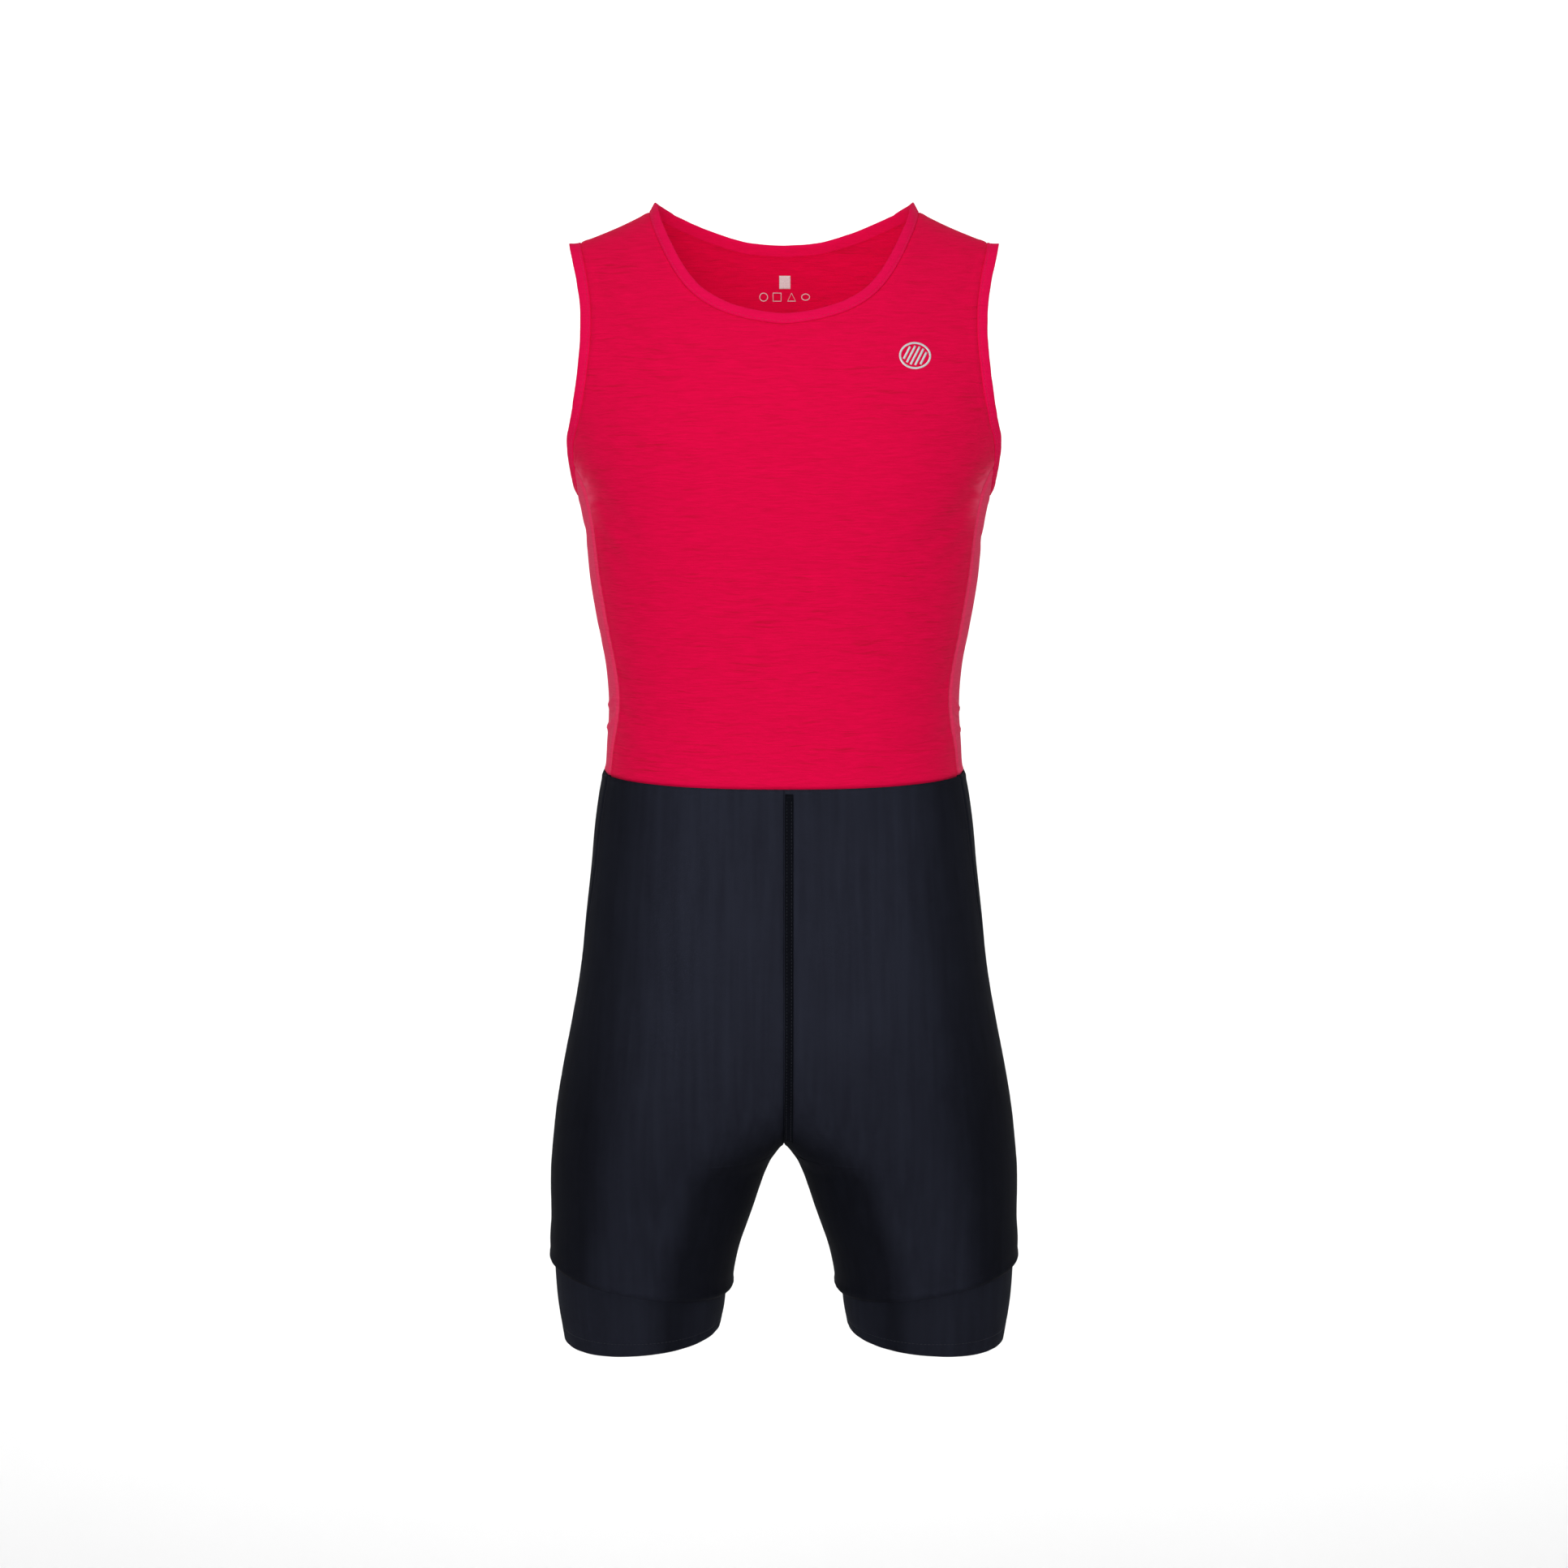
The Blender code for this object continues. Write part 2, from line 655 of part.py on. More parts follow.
def leg_bands(material):
    """Tube round each leg, tucked up inside the leg cloth."""
    def point_at(angle, travel):
        inner, outer = BAND.read("inner", travel), BAND.read("outer", travel)
        centre, half_width = (inner + outer) / 2, (outer - inner) / 2
        front, back = BAND.read("front_depth", travel), BAND.read("back_depth", travel)
        depth = front + BAND_MIDDLE if math.sin(angle) > 0 else back - BAND_MIDDLE
        across = half_width * power_cosine(angle, LEG_SQUARENESS)
        inward = power_cosine(angle - math.pi / 2, LEG_SQUARENESS)
        top = BAND_TOP_HEIGHT + BAND_TUCK + BAND_TOP_TILT * across
        low = HEM_HEIGHT + HEM_TILT * across - HEM_FRONT_DROP * inward
        return np.array((centre + across, BAND_MIDDLE - depth * inward, mix(top, low, travel)))

    seam = math.pi / 2 - math.radians(SHORTS_SEAM.read("angle", BAND_TOP_HEIGHT))
    angles = [mix(math.pi, seam, column) for column in shorts_columns()]
    angles += [-mix(math.pi, -seam, column) for column in shorts_columns()[-2:0:-1]]
    data = grid_mesh("leg_band", angles, even(BAND_ROW_COUNT), point_at, closed=True, turned=True)
    add_pair("leg_band", data, material, SHORTS_WALL)


def binding_mesh(name, loop, flare):
    """Folded band that carries on past a sewn edge; loop holds (angle, height, side)."""
    points, normals = [], []
    for angle, height, side in loop:
        across = np.array((side, 1.0, 1.0))
        points.append(torso_point(angle, height) * across)
        normals.append(surface_normal(torso_point, angle, height) * across)
    count = len(loop)

    def point_at(turn, travel):
        index = round(turn * count)
        ahead = points[(index + 1) % count] - points[index - 1]
        outward = np.cross(normals[index], ahead)
        outward = outward / np.linalg.norm(outward)
        reach = SEAM_GAP + BINDING_WIDTH * travel
        lift = BINDING_STAND_OUT + BINDING_WIDTH * math.tan(flare) * travel**2
        return points[index] + outward * reach + normals[index] * lift

    return grid_mesh(name, even(count)[:-1], even(BINDING_ROW_COUNT), point_at, closed=True)


def climbs(first_row):
    """Shares along an edge of the top's rows from first_row up to the ridge."""
    start = first_row / TOP_ROW_COUNT
    return [(row - start) / (1.0 - start) for row in TOP_ROWS if row >= start - SHARE_ROOM]


def armhole_bindings(material):
    up = climbs(SEAM_ROW_COUNT)
    travels = [armhole_travel(climb, 1) for climb in reversed(up)]
    travels += [mix(FRONT_CROSSING, BACK_CROSSING, share) for share in even(SIDE_COLUMN_COUNT)[1:]]
    travels += [armhole_travel(climb, -1) for climb in up[1:-1]]
    loop = [(*ARMHOLE.read(travel), 1.0) for travel in travels]
    add_pair("armhole_binding", binding_mesh("armhole_binding", loop, ARMHOLE_FLARE),
             material, BINDING_WALL)


def neck_binding(material):
    front, back = climbs(FRONT_NECK_ROW), climbs(BACK_NECK_ROW)
    quarter = [FRONT_NECK.read(share) for share in front]
    quarter += [BACK_NECK.read(share) for share in reversed(back[:-1])]
    loop = [(*place, 1.0) for place in quarter]
    loop += [(*place, -1.0) for place in reversed(quarter[1:-1])]
    add_piece("neck_binding", binding_mesh("neck_binding", loop, NECK_FLARE),
              material, BINDING_WALL)


def clear_scene():
    for thing in list(bpy.data.objects):
        bpy.data.objects.remove(thing, do_unlink=True)


def main():
    clear_scene()
    collection = bpy.data.collections.new(GARMENT)
    bpy.context.scene.collection.children.link(collection)
    materials = {row[0]: make_material(row) for row in MATERIAL_ROWS}
    top_panel("top_front", 1, materials["red_knit"])
    top_panel("top_back", -1, materials["red_knit"])
    side_panels(materials["red_side_knit"])
    neck_binding(materials["red_binding"])
    armhole_bindings(materials["red_binding"])
    shorts_panels(materials["navy_lycra"])
    front_tape(materials["dark_tape"])
    leg_bands(materials["navy_band"])


main()
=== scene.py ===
import math

import bmesh
import bpy
import mathutils
import numpy as np
from mathutils.kdtree import KDTree
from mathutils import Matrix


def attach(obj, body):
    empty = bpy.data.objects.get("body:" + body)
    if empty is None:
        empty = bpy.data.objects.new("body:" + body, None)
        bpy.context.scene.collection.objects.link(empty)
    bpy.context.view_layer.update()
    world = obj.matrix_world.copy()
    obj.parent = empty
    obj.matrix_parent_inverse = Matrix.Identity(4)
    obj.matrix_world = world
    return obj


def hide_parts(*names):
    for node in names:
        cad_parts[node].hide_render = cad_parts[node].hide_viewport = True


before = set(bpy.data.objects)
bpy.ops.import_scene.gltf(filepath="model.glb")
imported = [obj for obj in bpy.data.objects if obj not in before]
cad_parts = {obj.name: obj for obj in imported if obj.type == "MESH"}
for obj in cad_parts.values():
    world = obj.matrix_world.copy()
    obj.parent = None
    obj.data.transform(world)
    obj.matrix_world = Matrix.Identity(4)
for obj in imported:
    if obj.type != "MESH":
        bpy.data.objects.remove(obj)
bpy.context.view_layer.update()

# Rowing unisuit, dressed: a red slub knit top on navy black stretch shorts.
# Metres, +Z up, the front faces -Y and the wearer's left is +X.

print("frame loaded, nodes:", len(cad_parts))

body = {
    "topWall": 0.0016,
    "shortsWall": 0.0020,
    "topHem": -0.4300,
    "waistDip": 0.0018,
    "shortsStandOut": 0.0014,
    "standOutFade": 0.050,
    "shoulderRounding": 0.20,
    "shoulderPower": 1.45,
    "crotch": -0.7205,
    "legStart": -0.5600,
    "crotchPower": 5.0,
    "bandTop": -0.8223,
    "bandTopTilt": 0.163,
    "legRowPower": 1.5,
    "hem": -0.8668,
    "hemTilt": -0.078,
    "hemFrontDrop": 0.0020,
    "legSquareness": 2.15,
    "middle": 0.002,
    "crotchShare": 13 / 21,   # of the shorts' rows, those above the crotch
}


class SmoothTable:
    # rows read as smooth curves of their first column
    def __init__(self, columns, rows):
        values = np.array(rows, float)
        self.columns = columns.split()
        self.values = values[np.argsort(values[:, 0])]
        self.keys = self.values[:, 0]
        self.slopes = np.gradient(self.values, self.keys, axis=0)

    def read(self, column, key):
        at = self.columns.index(column)
        key = np.clip(key, self.keys[0], self.keys[-1])
        row = np.clip(np.searchsorted(self.keys, key) - 1, 0, len(self.keys) - 2)
        step = self.keys[row + 1] - self.keys[row]
        t = (key - self.keys[row]) / step
        low, high = self.values[row, at], self.values[row + 1, at]
        rise, fall = self.slopes[row, at] * step, self.slopes[row + 1, at] * step
        return ((2 * t**3 - 3 * t**2 + 1) * low + (t**3 - 2 * t**2 + t) * rise
                + (3 * t**2 - 2 * t**3) * high + (t**3 - t**2) * fall)


torso = SmoothTable("height halfWidth front back middle squareness", [
    (-0.7205, 0.1801, 0.0995, 0.1110, 0.002, 2.15),
    (-0.6900, 0.1768, 0.1035, 0.1215, 0.002, 2.15),
    (-0.6600, 0.1718, 0.1062, 0.1290, 0.002, 2.15),
    (-0.6200, 0.1639, 0.1085, 0.1335, 0.002, 2.20),
    (-0.5800, 0.1570, 0.1088, 0.1310, 0.001, 2.25),
    (-0.5400, 0.1529, 0.1070, 0.1230, 0.001, 2.30),
    (-0.5000, 0.1484, 0.1043, 0.1130, 0.000, 2.30),
    (-0.4680, 0.1452, 0.1020, 0.1040, 0.000, 2.30),
    (-0.4480, 0.1415, 0.1006, 0.0990, 0.000, 2.30),
    (-0.4300, 0.1376, 0.0997, 0.0950, 0.000, 2.30),
    (-0.4050, 0.1358, 0.0990, 0.0910, 0.000, 2.30),
    (-0.3750, 0.1343, 0.0990, 0.0890, 0.000, 2.30),
    (-0.3450, 0.1366, 0.1002, 0.0905, 0.001, 2.30),
    (-0.3150, 0.1424, 0.1032, 0.0960, 0.002, 2.30),
    (-0.2800, 0.1482, 0.1080, 0.1030, 0.003, 2.30),
    (-0.2450, 0.1517, 0.1130, 0.1090, 0.004, 2.35),
    (-0.2160, 0.1574, 0.1160, 0.1130, 0.005, 2.35),
    (-0.1940, 0.1632, 0.1170, 0.1155, 0.006, 2.40),
    (-0.1700, 0.1710, 0.1165, 0.1180, 0.007, 2.40),
    (-0.1400, 0.1800, 0.1145, 0.1200, 0.008, 2.45),
    (-0.1000, 0.1880, 0.1100, 0.1210, 0.010, 2.50),
    (-0.0500, 0.1900, 0.1040, 0.1200, 0.012, 2.50),
    (0.0300, 0.1900, 0.1000, 0.1180, 0.012, 2.50),
])

shoulderRidge = SmoothTable("across height", [
    (0.000, 0.0240), (0.050, 0.0180), (0.090, 0.0042), (0.108, -0.0055),
    (0.126, -0.0141), (0.141, -0.0203), (0.155, -0.0256), (0.180, -0.0350),
])

leg = SmoothTable("height inner outer front back", [
    (-0.8760, 0.0475, 0.1735, 0.0790, 0.0770),
    (-0.8400, 0.0450, 0.1792, 0.0822, 0.0802),
    (-0.8223, 0.0410, 0.1815, 0.0845, 0.0830),
    (-0.8050, 0.0385, 0.1824, 0.0865, 0.0868),
    (-0.7870, 0.0340, 0.1814, 0.0885, 0.0912),
    (-0.7740, 0.0290, 0.1814, 0.0905, 0.0945),
    (-0.7610, 0.0238, 0.1816, 0.0927, 0.0980),
    (-0.7480, 0.0188, 0.1815, 0.0951, 0.1018),
    (-0.7350, 0.0130, 0.1811, 0.0973, 0.1060),
    (-0.7280, 0.0086, 0.1806, 0.0984, 0.1084),
    (-0.7205, 0.0000, 0.1801, 0.0995, 0.1110),
])

legBand = SmoothTable("travel inner outer front back", [
    (0.0, 0.0450, 0.1790, 0.0818, 0.0803),
    (0.5, 0.0463, 0.1768, 0.0805, 0.0788),
    (1.0, 0.0495, 0.1719, 0.0792, 0.0772),
])

# side seams of the top: degrees round from the centre front
sideSeam = SmoothTable("height front back", [
    (-0.4300, 74.0, 105.0), (-0.4080, 72.5, 107.0), (-0.3900, 69.5, 109.0), (-0.3680, 67.5, 110.0),
    (-0.3400, 68.3, 109.5), (-0.3000, 68.5, 108.5), (-0.2460, 69.5, 108.0), (-0.2240, 69.0, 107.5),
    (-0.2120, 69.8, 107.0), (-0.2040, 71.8, 106.5), (-0.1930, 75.5, 106.0),
])

shortsSeam = SmoothTable("height angle", [
    (-0.876, 92.0), (-0.7205, 92.0), (-0.64, 91.0), (-0.59, 87.0),
    (-0.54, 79.0), (-0.48, 74.5), (-0.43, 73.5),
])


def mix(low, high, share):
    return low + (high - low) * share


def smoothStep(value):
    value = np.clip(value, 0.0, 1.0)
    return value * value * (3.0 - 2.0 * value)


def hump(distance, width):
    return np.exp(-((distance / width) ** 2))


def unit(vectors):
    return vectors / np.maximum(np.linalg.norm(vectors, axis=-1, keepdims=True), 1e-12)


def handed(hand):
    # +1 keeps points on the wearer's left, -1 mirrors them to the right
    return np.array((hand, 1.0, 1.0))


upright = np.array((0.0, 0.0, 1.0))


def powerCosine(angle, squareness):
    cosine = np.cos(angle)
    return np.sign(cosine) * np.abs(cosine) ** (2.0 / squareness)


def torsoPoint(angle, height):
    squareness = torso.read("squareness", height)
    middle = torso.read("middle", height)
    across = torso.read("halfWidth", height) * powerCosine(angle - math.pi / 2, squareness)
    below = np.maximum(shoulderRidge.read("height", np.abs(across)) - height, 0.0)
    fraction = np.minimum(below / body["shoulderRounding"], 1.0)
    rounding = np.sqrt(1.0 - (1.0 - fraction) ** body["shoulderPower"])
    forward = powerCosine(angle, squareness)
    depth = np.where(forward >= 0, torso.read("front", height) + middle, torso.read("back", height) - middle)
    return np.stack(np.broadcast_arrays(across, middle - depth * rounding * forward, height), -1)


def torsoAngle(across, height, facing):
    ratio = np.minimum(np.abs(across) / torso.read("halfWidth", height), 1.0)
    angle = np.arcsin(ratio ** (torso.read("squareness", height) / 2))
    return angle if facing > 0 else math.pi - angle


class SewnEdge:
    # an edge through places (angle, height) on the top, read by the share travelled
    def __init__(self, places):
        spots = np.array([torsoPoint(angle, height) for angle, height in places])
        travel = np.concatenate([[0.0], np.cumsum(np.linalg.norm(np.diff(spots, axis=0), axis=1))])
        rows = [(step / travel[-1], *place) for step, place in zip(travel, places)]
        self.table = SmoothTable("travel angle height", rows)

    def read(self, travel):
        return self.table.read("angle", travel), self.table.read("height", travel)


def placesAcross(rows, facing):
    places = []
    for across, height in rows:
        height = float(shoulderRidge.read("height", across)) if height is None else height
        places.append((float(torsoAngle(across, height, facing)), height))
    return places


# sewn edge of the armhole: down the front, under the arm (degrees) and up the back
armhole = SewnEdge(
    placesAcross([(0.1550, None), (0.1530, -0.034), (0.1480, -0.056), (0.1450, -0.078), (0.1448, -0.096),
                  (0.1462, -0.114), (0.1498, -0.140), (0.1538, -0.160), (0.1588, -0.180)], 1)
    + [(math.radians(degrees), height) for degrees, height in (
        (75.5, -0.195), (80, -0.208), (85, -0.215), (91, -0.217), (97, -0.214), (102, -0.205), (106, -0.191))]
    + placesAcross([(0.1585, -0.173), (0.1550, -0.150), (0.1518, -0.125), (0.1500, -0.100),
                    (0.1495, -0.076), (0.1507, -0.054), (0.1535, -0.035), (0.1550, None)], -1))
frontNeck = SewnEdge(placesAcross([
    (0.0, -0.088), (0.027, -0.0842), (0.0483, -0.0775), (0.0609, -0.0705), (0.0710, -0.0620),
    (0.0795, -0.0515), (0.0862, -0.0405), (0.0925, -0.0280), (0.0975, -0.0170), (0.1020, None)], 1))
backNeck = SewnEdge(placesAcross([
    (0.0, -0.0325), (0.03, -0.0300), (0.055, -0.0230),
    (0.078, -0.0140), (0.093, -0.0070), (0.1020, None)], -1))

topRows = {
    "seamShare": 0.5,          # rows below this run along the side seam, the others along the armhole
    "frontStraight": 17 / 26,  # rows below this start on the centre line, the others at the neck
    "backStraight": 20 / 26,
    "ridgeBend": 0.55,
    "sideBend": 0.70,
    "seamTop": -0.193,
    "seamRoom": 0.006,
}


def seamAngle(height, facing):
    return np.radians(sideSeam.read("front" if facing > 0 else "back", height))


def crossing(facing):
    # share of the armhole's edge where the side seam reaches it
    travel = np.linspace(0, 1, 2001)
    angle, height = armhole.read(travel)
    miss = np.abs(angle - seamAngle(height, facing))
    beyond = (math.pi / 2 - angle) * facing <= 0
    miss[beyond | (height >= topRows["seamTop"] + topRows["seamRoom"])] = math.pi
    return travel[miss.argmin()]


frontCrossing, backCrossing = crossing(1), crossing(-1)


def waistHeight(angle):
    return body["topHem"] - body["waistDip"] * np.maximum(np.cos(angle), 0.0)


def centrePlace(travel, facing):
    neck = frontNeck if facing > 0 else backNeck
    straight = topRows["frontStraight" if facing > 0 else "backStraight"]
    middle = 0.0 if facing > 0 else math.pi
    neckAngle, neckHeight = neck.read(np.clip((travel - straight) / (1 - straight), 0, 1))
    height = mix(waistHeight(middle), neck.read(0.0)[1], travel / straight)
    return np.where(travel > straight, neckAngle, middle), np.where(travel > straight, neckHeight, height)


def outerPlace(travel, facing):
    share = topRows["seamShare"]
    climb = np.clip((travel - share) / (1 - share), 0, 1)
    start, finish = (frontCrossing, 0.0) if facing > 0 else (backCrossing, 1.0)
    armAngle, armHeight = armhole.read(mix(start, finish, climb))
    bottom = waistHeight(seamAngle(body["topHem"], facing))
    seamHeight = mix(bottom, armhole.read(start)[1], np.minimum(travel / share, 1))
    onArm = travel >= share
    return np.where(onArm, armAngle, seamAngle(seamHeight, facing)), np.where(onArm, armHeight, seamHeight)


def ridgeOver(angle, height):
    return shoulderRidge.read("height", np.abs(torsoPoint(angle, height)[..., 0]))


def topPlace(side, travel, facing):
    innerAngle, innerHeight = centrePlace(travel, facing)
    outerAngle, outerHeight = outerPlace(travel, facing)
    angle, height = mix(innerAngle, outerAngle, side), mix(innerHeight, outerHeight, side)
    flatRidge = mix(ridgeOver(innerAngle, innerHeight), ridgeOver(outerAngle, outerHeight), side)
    bend = ridgeOver(angle, height) - flatRidge
    return angle, height + bend * smoothStep((travel - topRows["ridgeBend"]) / (1 - topRows["ridgeBend"]))


def sidePlace(side, travel):
    share = topRows["seamShare"]
    frontAngle, frontHeight = outerPlace(travel * share, 1)
    backAngle, backHeight = outerPlace(travel * share, -1)
    topAngle, topHeight = armhole.read(mix(frontCrossing, backCrossing, side))
    flatAngle = mix(outerPlace(share, 1)[0], outerPlace(share, -1)[0], side)
    flatHeight = mix(outerPlace(share, 1)[1], outerPlace(share, -1)[1], side)
    sway = smoothStep((travel - topRows["sideBend"]) / (1 - topRows["sideBend"]))
    return (mix(frontAngle, backAngle, side) + (topAngle - flatAngle) * sway,
            mix(frontHeight, backHeight, side) + (topHeight - flatHeight) * travel**2)


# The shorts: one leg's sections, from the waist down to its band

def standShare(height):
    return 1.0 - smoothStep((body["topHem"] - height) / body["standOutFade"])


def shortsSection(height):
    standOut = body["shortsStandOut"] * standShare(height)
    fall = np.clip((body["legStart"] - height) / (body["legStart"] - body["crotch"]), 0, 1)
    lean = fall ** (body["crotchPower"] / 2)
    hipSquareness = torso.read("squareness", height)
    ratio = lean ** (2 / hipSquareness)
    hipOuter = torso.read("halfWidth", height) + standOut
    onLeg = height < body["crotch"]
    inner, outer = leg.read("inner", height), leg.read("outer", height)
    centre = np.where(onLeg, (inner + outer) / 2, hipOuter * ratio / (1 + ratio))
    return {
        "centre": centre,
        "half": np.where(onLeg, (outer - inner) / 2, hipOuter - centre),
        "front": np.where(onLeg, leg.read("front", height), torso.read("front", height) + standOut),
        "back": np.where(onLeg, leg.read("back", height), torso.read("back", height) + standOut),
        "middle": np.where(onLeg, body["middle"], torso.read("middle", height)),
        "squareness": np.where(onLeg, body["legSquareness"], hipSquareness),
        "start": np.where(onLeg, math.pi, math.pi / 2 + np.arcsin(lean)),
    }


def shortsRow(travel):
    crotch = body["crotchShare"]
    upper = mix(body["topHem"], body["crotch"], np.sin(np.clip(travel / crotch, 0, 1) * math.pi / 2))
    down = np.clip((travel - crotch) / (1 - crotch), 0, 1)
    lower = mix(body["crotch"], body["bandTop"], down ** body["legRowPower"])
    return np.where(travel <= crotch, upper, lower), body["bandTopTilt"] * smoothStep(down)


def shortsAt(angle, height, tilt, facing):
    cut = shortsSection(height)
    across = cut["centre"] + cut["half"] * powerCosine(angle, cut["squareness"])
    forward = facing * powerCosine(angle - math.pi / 2, cut["squareness"])
    depth = np.where(forward > 0, cut["front"] + cut["middle"], cut["back"] - cut["middle"])
    dip = body["waistDip"] * np.maximum(np.sin(angle), 0) * standShare(height) * (facing > 0)
    rise = tilt * (across - cut["centre"])
    return np.stack(np.broadcast_arrays(across, cut["middle"] - forward * depth, height + rise - dip), -1)


def shortsPoint(sweep, travel, facing):
    height, tilt = shortsRow(travel)
    finish = facing * (math.pi / 2 - np.radians(shortsSeam.read("angle", height)))
    return shortsAt(mix(shortsSection(height)["start"], finish, sweep), height, tilt, facing)


def shortsAcross(across, height, facing):
    cut = shortsSection(height)
    ratio = np.clip((across - cut["centre"]) / cut["half"], -1, 1)
    angle = np.arccos(np.sign(ratio) * np.abs(ratio) ** (cut["squareness"] / 2))
    return shortsAt(angle, height, 0.0, facing)


print("form ready, side seams meet the armhole at",
      round(float(frontCrossing), 3), round(float(backCrossing), 3))

# Creases, placed one by one. Depth is downwards when positive and a ridge when negative.
# Those of the top: depth, width (both mm), then places (degrees round from the front, height in mm).

topCreases = [
    # soft shade from the armholes in under the chest
    (1.7, 15, [(72, -186), (64, -208), (54, -232), (42, -250), (29, -258)]),
    (1.5, 14, [(-71, -190), (-62, -213), (-51, -236), (-38, -252)]),
    (1.0, 10, [(66, -236), (57, -254), (46, -268), (38, -274)]),
    (1.1, 11, [(-67, -232), (-59, -252), (-47, -270)]),
    (0.7, 12, [(20, -262), (4, -268), (-13, -263), (-28, -256)]),
    # drag lines at the waist, in from the side seams
    (1.0, 6.3, [(69, -352), (58, -358), (44, -356), (33, -351)]),
    (0.7, 5.4, [(66, -371), (52, -377), (40, -378)]),
    (1.1, 7.2, [(70, -392), (60, -397), (47, -403), (30, -402)]),
    (0.8, 6.3, [(-68, -347), (-55, -354), (-41, -355)]),
    (1.1, 7.2, [(-67, -377), (-57, -383), (-43, -381), (-31, -375)]),
    (0.7, 5.4, [(-70, -401), (-56, -408), (-42, -411)]),
    (0.6, 8.1, [(24, -330), (8, -336), (-9, -334), (-20, -329)]),
    (0.6, 7.2, [(16, -392), (2, -396), (-15, -391)]),
    # two small puckers on each side panel
    (-1.4, 3.6, [(70, -368), (77, -376), (86, -380)]),
    (1.0, 3.2, [(70, -377), (78, -384), (88, -387)]),
    (-1.2, 3.4, [(70, -386), (78, -393), (87, -396)]),
    (-1.3, 3.6, [(-70, -366), (-78, -374), (-87, -377)]),
    (1.0, 3.2, [(-70, -375), (-77, -382), (-87, -386)]),
    (-1.3, 3.4, [(-71, -384), (-79, -391), (-90, -395)]),
    # across the shoulders and under the neck
    (0.7, 9, [(50, -36), (42, -58), (37, -82)]),
    (0.6, 8, [(-47, -40), (-41, -64), (-37, -90)]),
    (0.5, 8, [(24, -98), (34, -108), (45, -112)]),
    (0.5, 9, [(-20, -100), (-33, -112), (-44, -114)]),
    (0.7, 8, [(62, -120), (54, -138), (44, -150)]),
    (0.6, 8, [(-63, -128), (-54, -144), (-45, -152)]),
    # between the shoulder blades and in from the armholes, behind
    (1.9, 9.9, [(122, -104), (134, -122), (147, -132), (158, -134)]),
    (2.1, 10.8, [(-120, -112), (-133, -130), (-148, -140)]),
    (1.7, 9, [(114, -182), (127, -196), (142, -203)]),
    (1.5, 9, [(-113, -176), (-126, -192), (-143, -201), (-154, -203)]),
    (1.5, 11.7, [(180, -92), (179, -128), (181, -168), (180, -214)]),
    # small of the back
    (2.5, 8.1, [(128, -338), (146, -347), (166, -351), (184, -350), (203, -344)]),
    (3.0, 9, [(118, -362), (137, -370), (157, -375), (178, -374), (196, -369), (214, -361)]),
    (2.7, 8.1, [(149, -396), (167, -400), (188, -401), (209, -396), (228, -388)]),
    (1.7, 7.2, [(116, -389), (128, -398), (141, -403)]),
    (1.9, 7.2, [(224, -336), (236, -344), (246, -346)]),
    (1.5, 6.3, [(160, -417), (178, -420), (196, -417)]),
    # side panels under the arms
    (0.7, 7, [(80, -246), (90, -252), (101, -249)]),
    (0.8, 8, [(-79, -240), (-91, -247), (-103, -243)]),
    (0.6, 7, [(84, -312), (94, -318), (104, -317)]),
    (0.6, 7, [(-82, -320), (-92, -325), (-103, -322)]),
]

# Those of the shorts: depth, width, facing, then places (across and height in mm).
shortsCreases = [
    (0.6, 11, 1, [(14, -692), (38, -672), (68, -650), (96, -636)]),
    (0.6, 12, 1, [(-12, -698), (-40, -676), (-74, -655)]),
    (0.7, 9, 1, [(10, -714), (34, -706), (62, -694), (84, -684)]),
    (0.6, 9, 1, [(-11, -712), (-36, -702), (-66, -693), (-92, -684)]),
    (0.4, 10, 1, [(112, -446), (92, -456), (66, -459)]),
    (0.4, 10, 1, [(-116, -448), (-94, -460), (-70, -462)]),
    # under the seat, and up from the crotch seam
    (2.7, 9.9, -1, [(22, -716), (50, -728), (84, -732), (118, -724), (142, -712)]),
    (2.5, 9.9, -1, [(-24, -719), (-54, -731), (-88, -733), (-124, -723)]),
    (1.5, 7.2, -1, [(34, -744), (64, -752), (98, -751)]),
    (1.4, 7.2, -1, [(-30, -741), (-58, -750), (-90, -752), (-112, -748)]),
    (1.7, 7.2, -1, [(6, -690), (24, -680), (46, -660)]),
    (1.5, 7.2, -1, [(-6, -694), (-27, -684), (-50, -666)]),
    (1.2, 6.3, -1, [(5, -664), (20, -648), (34, -628)]),
    (1.2, 6.3, -1, [(-5, -668), (-18, -650), (-36, -632)]),
    (1.2, 8.1, -1, [(60, -446), (30, -455), (2, -457), (-26, -453)]),
    (1.0, 7.2, -1, [(108, -452), (84, -461), (58, -464)]),
    (1.0, 7.2, -1, [(-64, -450), (-86, -460), (-112, -456)]),
    (1.4, 8.1, -1, [(66, -786), (94, -793), (124, -789)]),
    (1.2, 8.1, -1, [(-58, -782), (-90, -791), (-118, -789), (-136, -784)]),
]


def smoothPath(spots, steps=5):
    # a path through the spots, rounded at each by a spline
    table = SmoothTable("step x y z", [(step, *spot) for step, spot in enumerate(spots)])
    at = np.linspace(0, len(spots) - 1, steps * (len(spots) - 1) + 1)
    return np.stack([table.read(name, at) for name in "xyz"], -1)


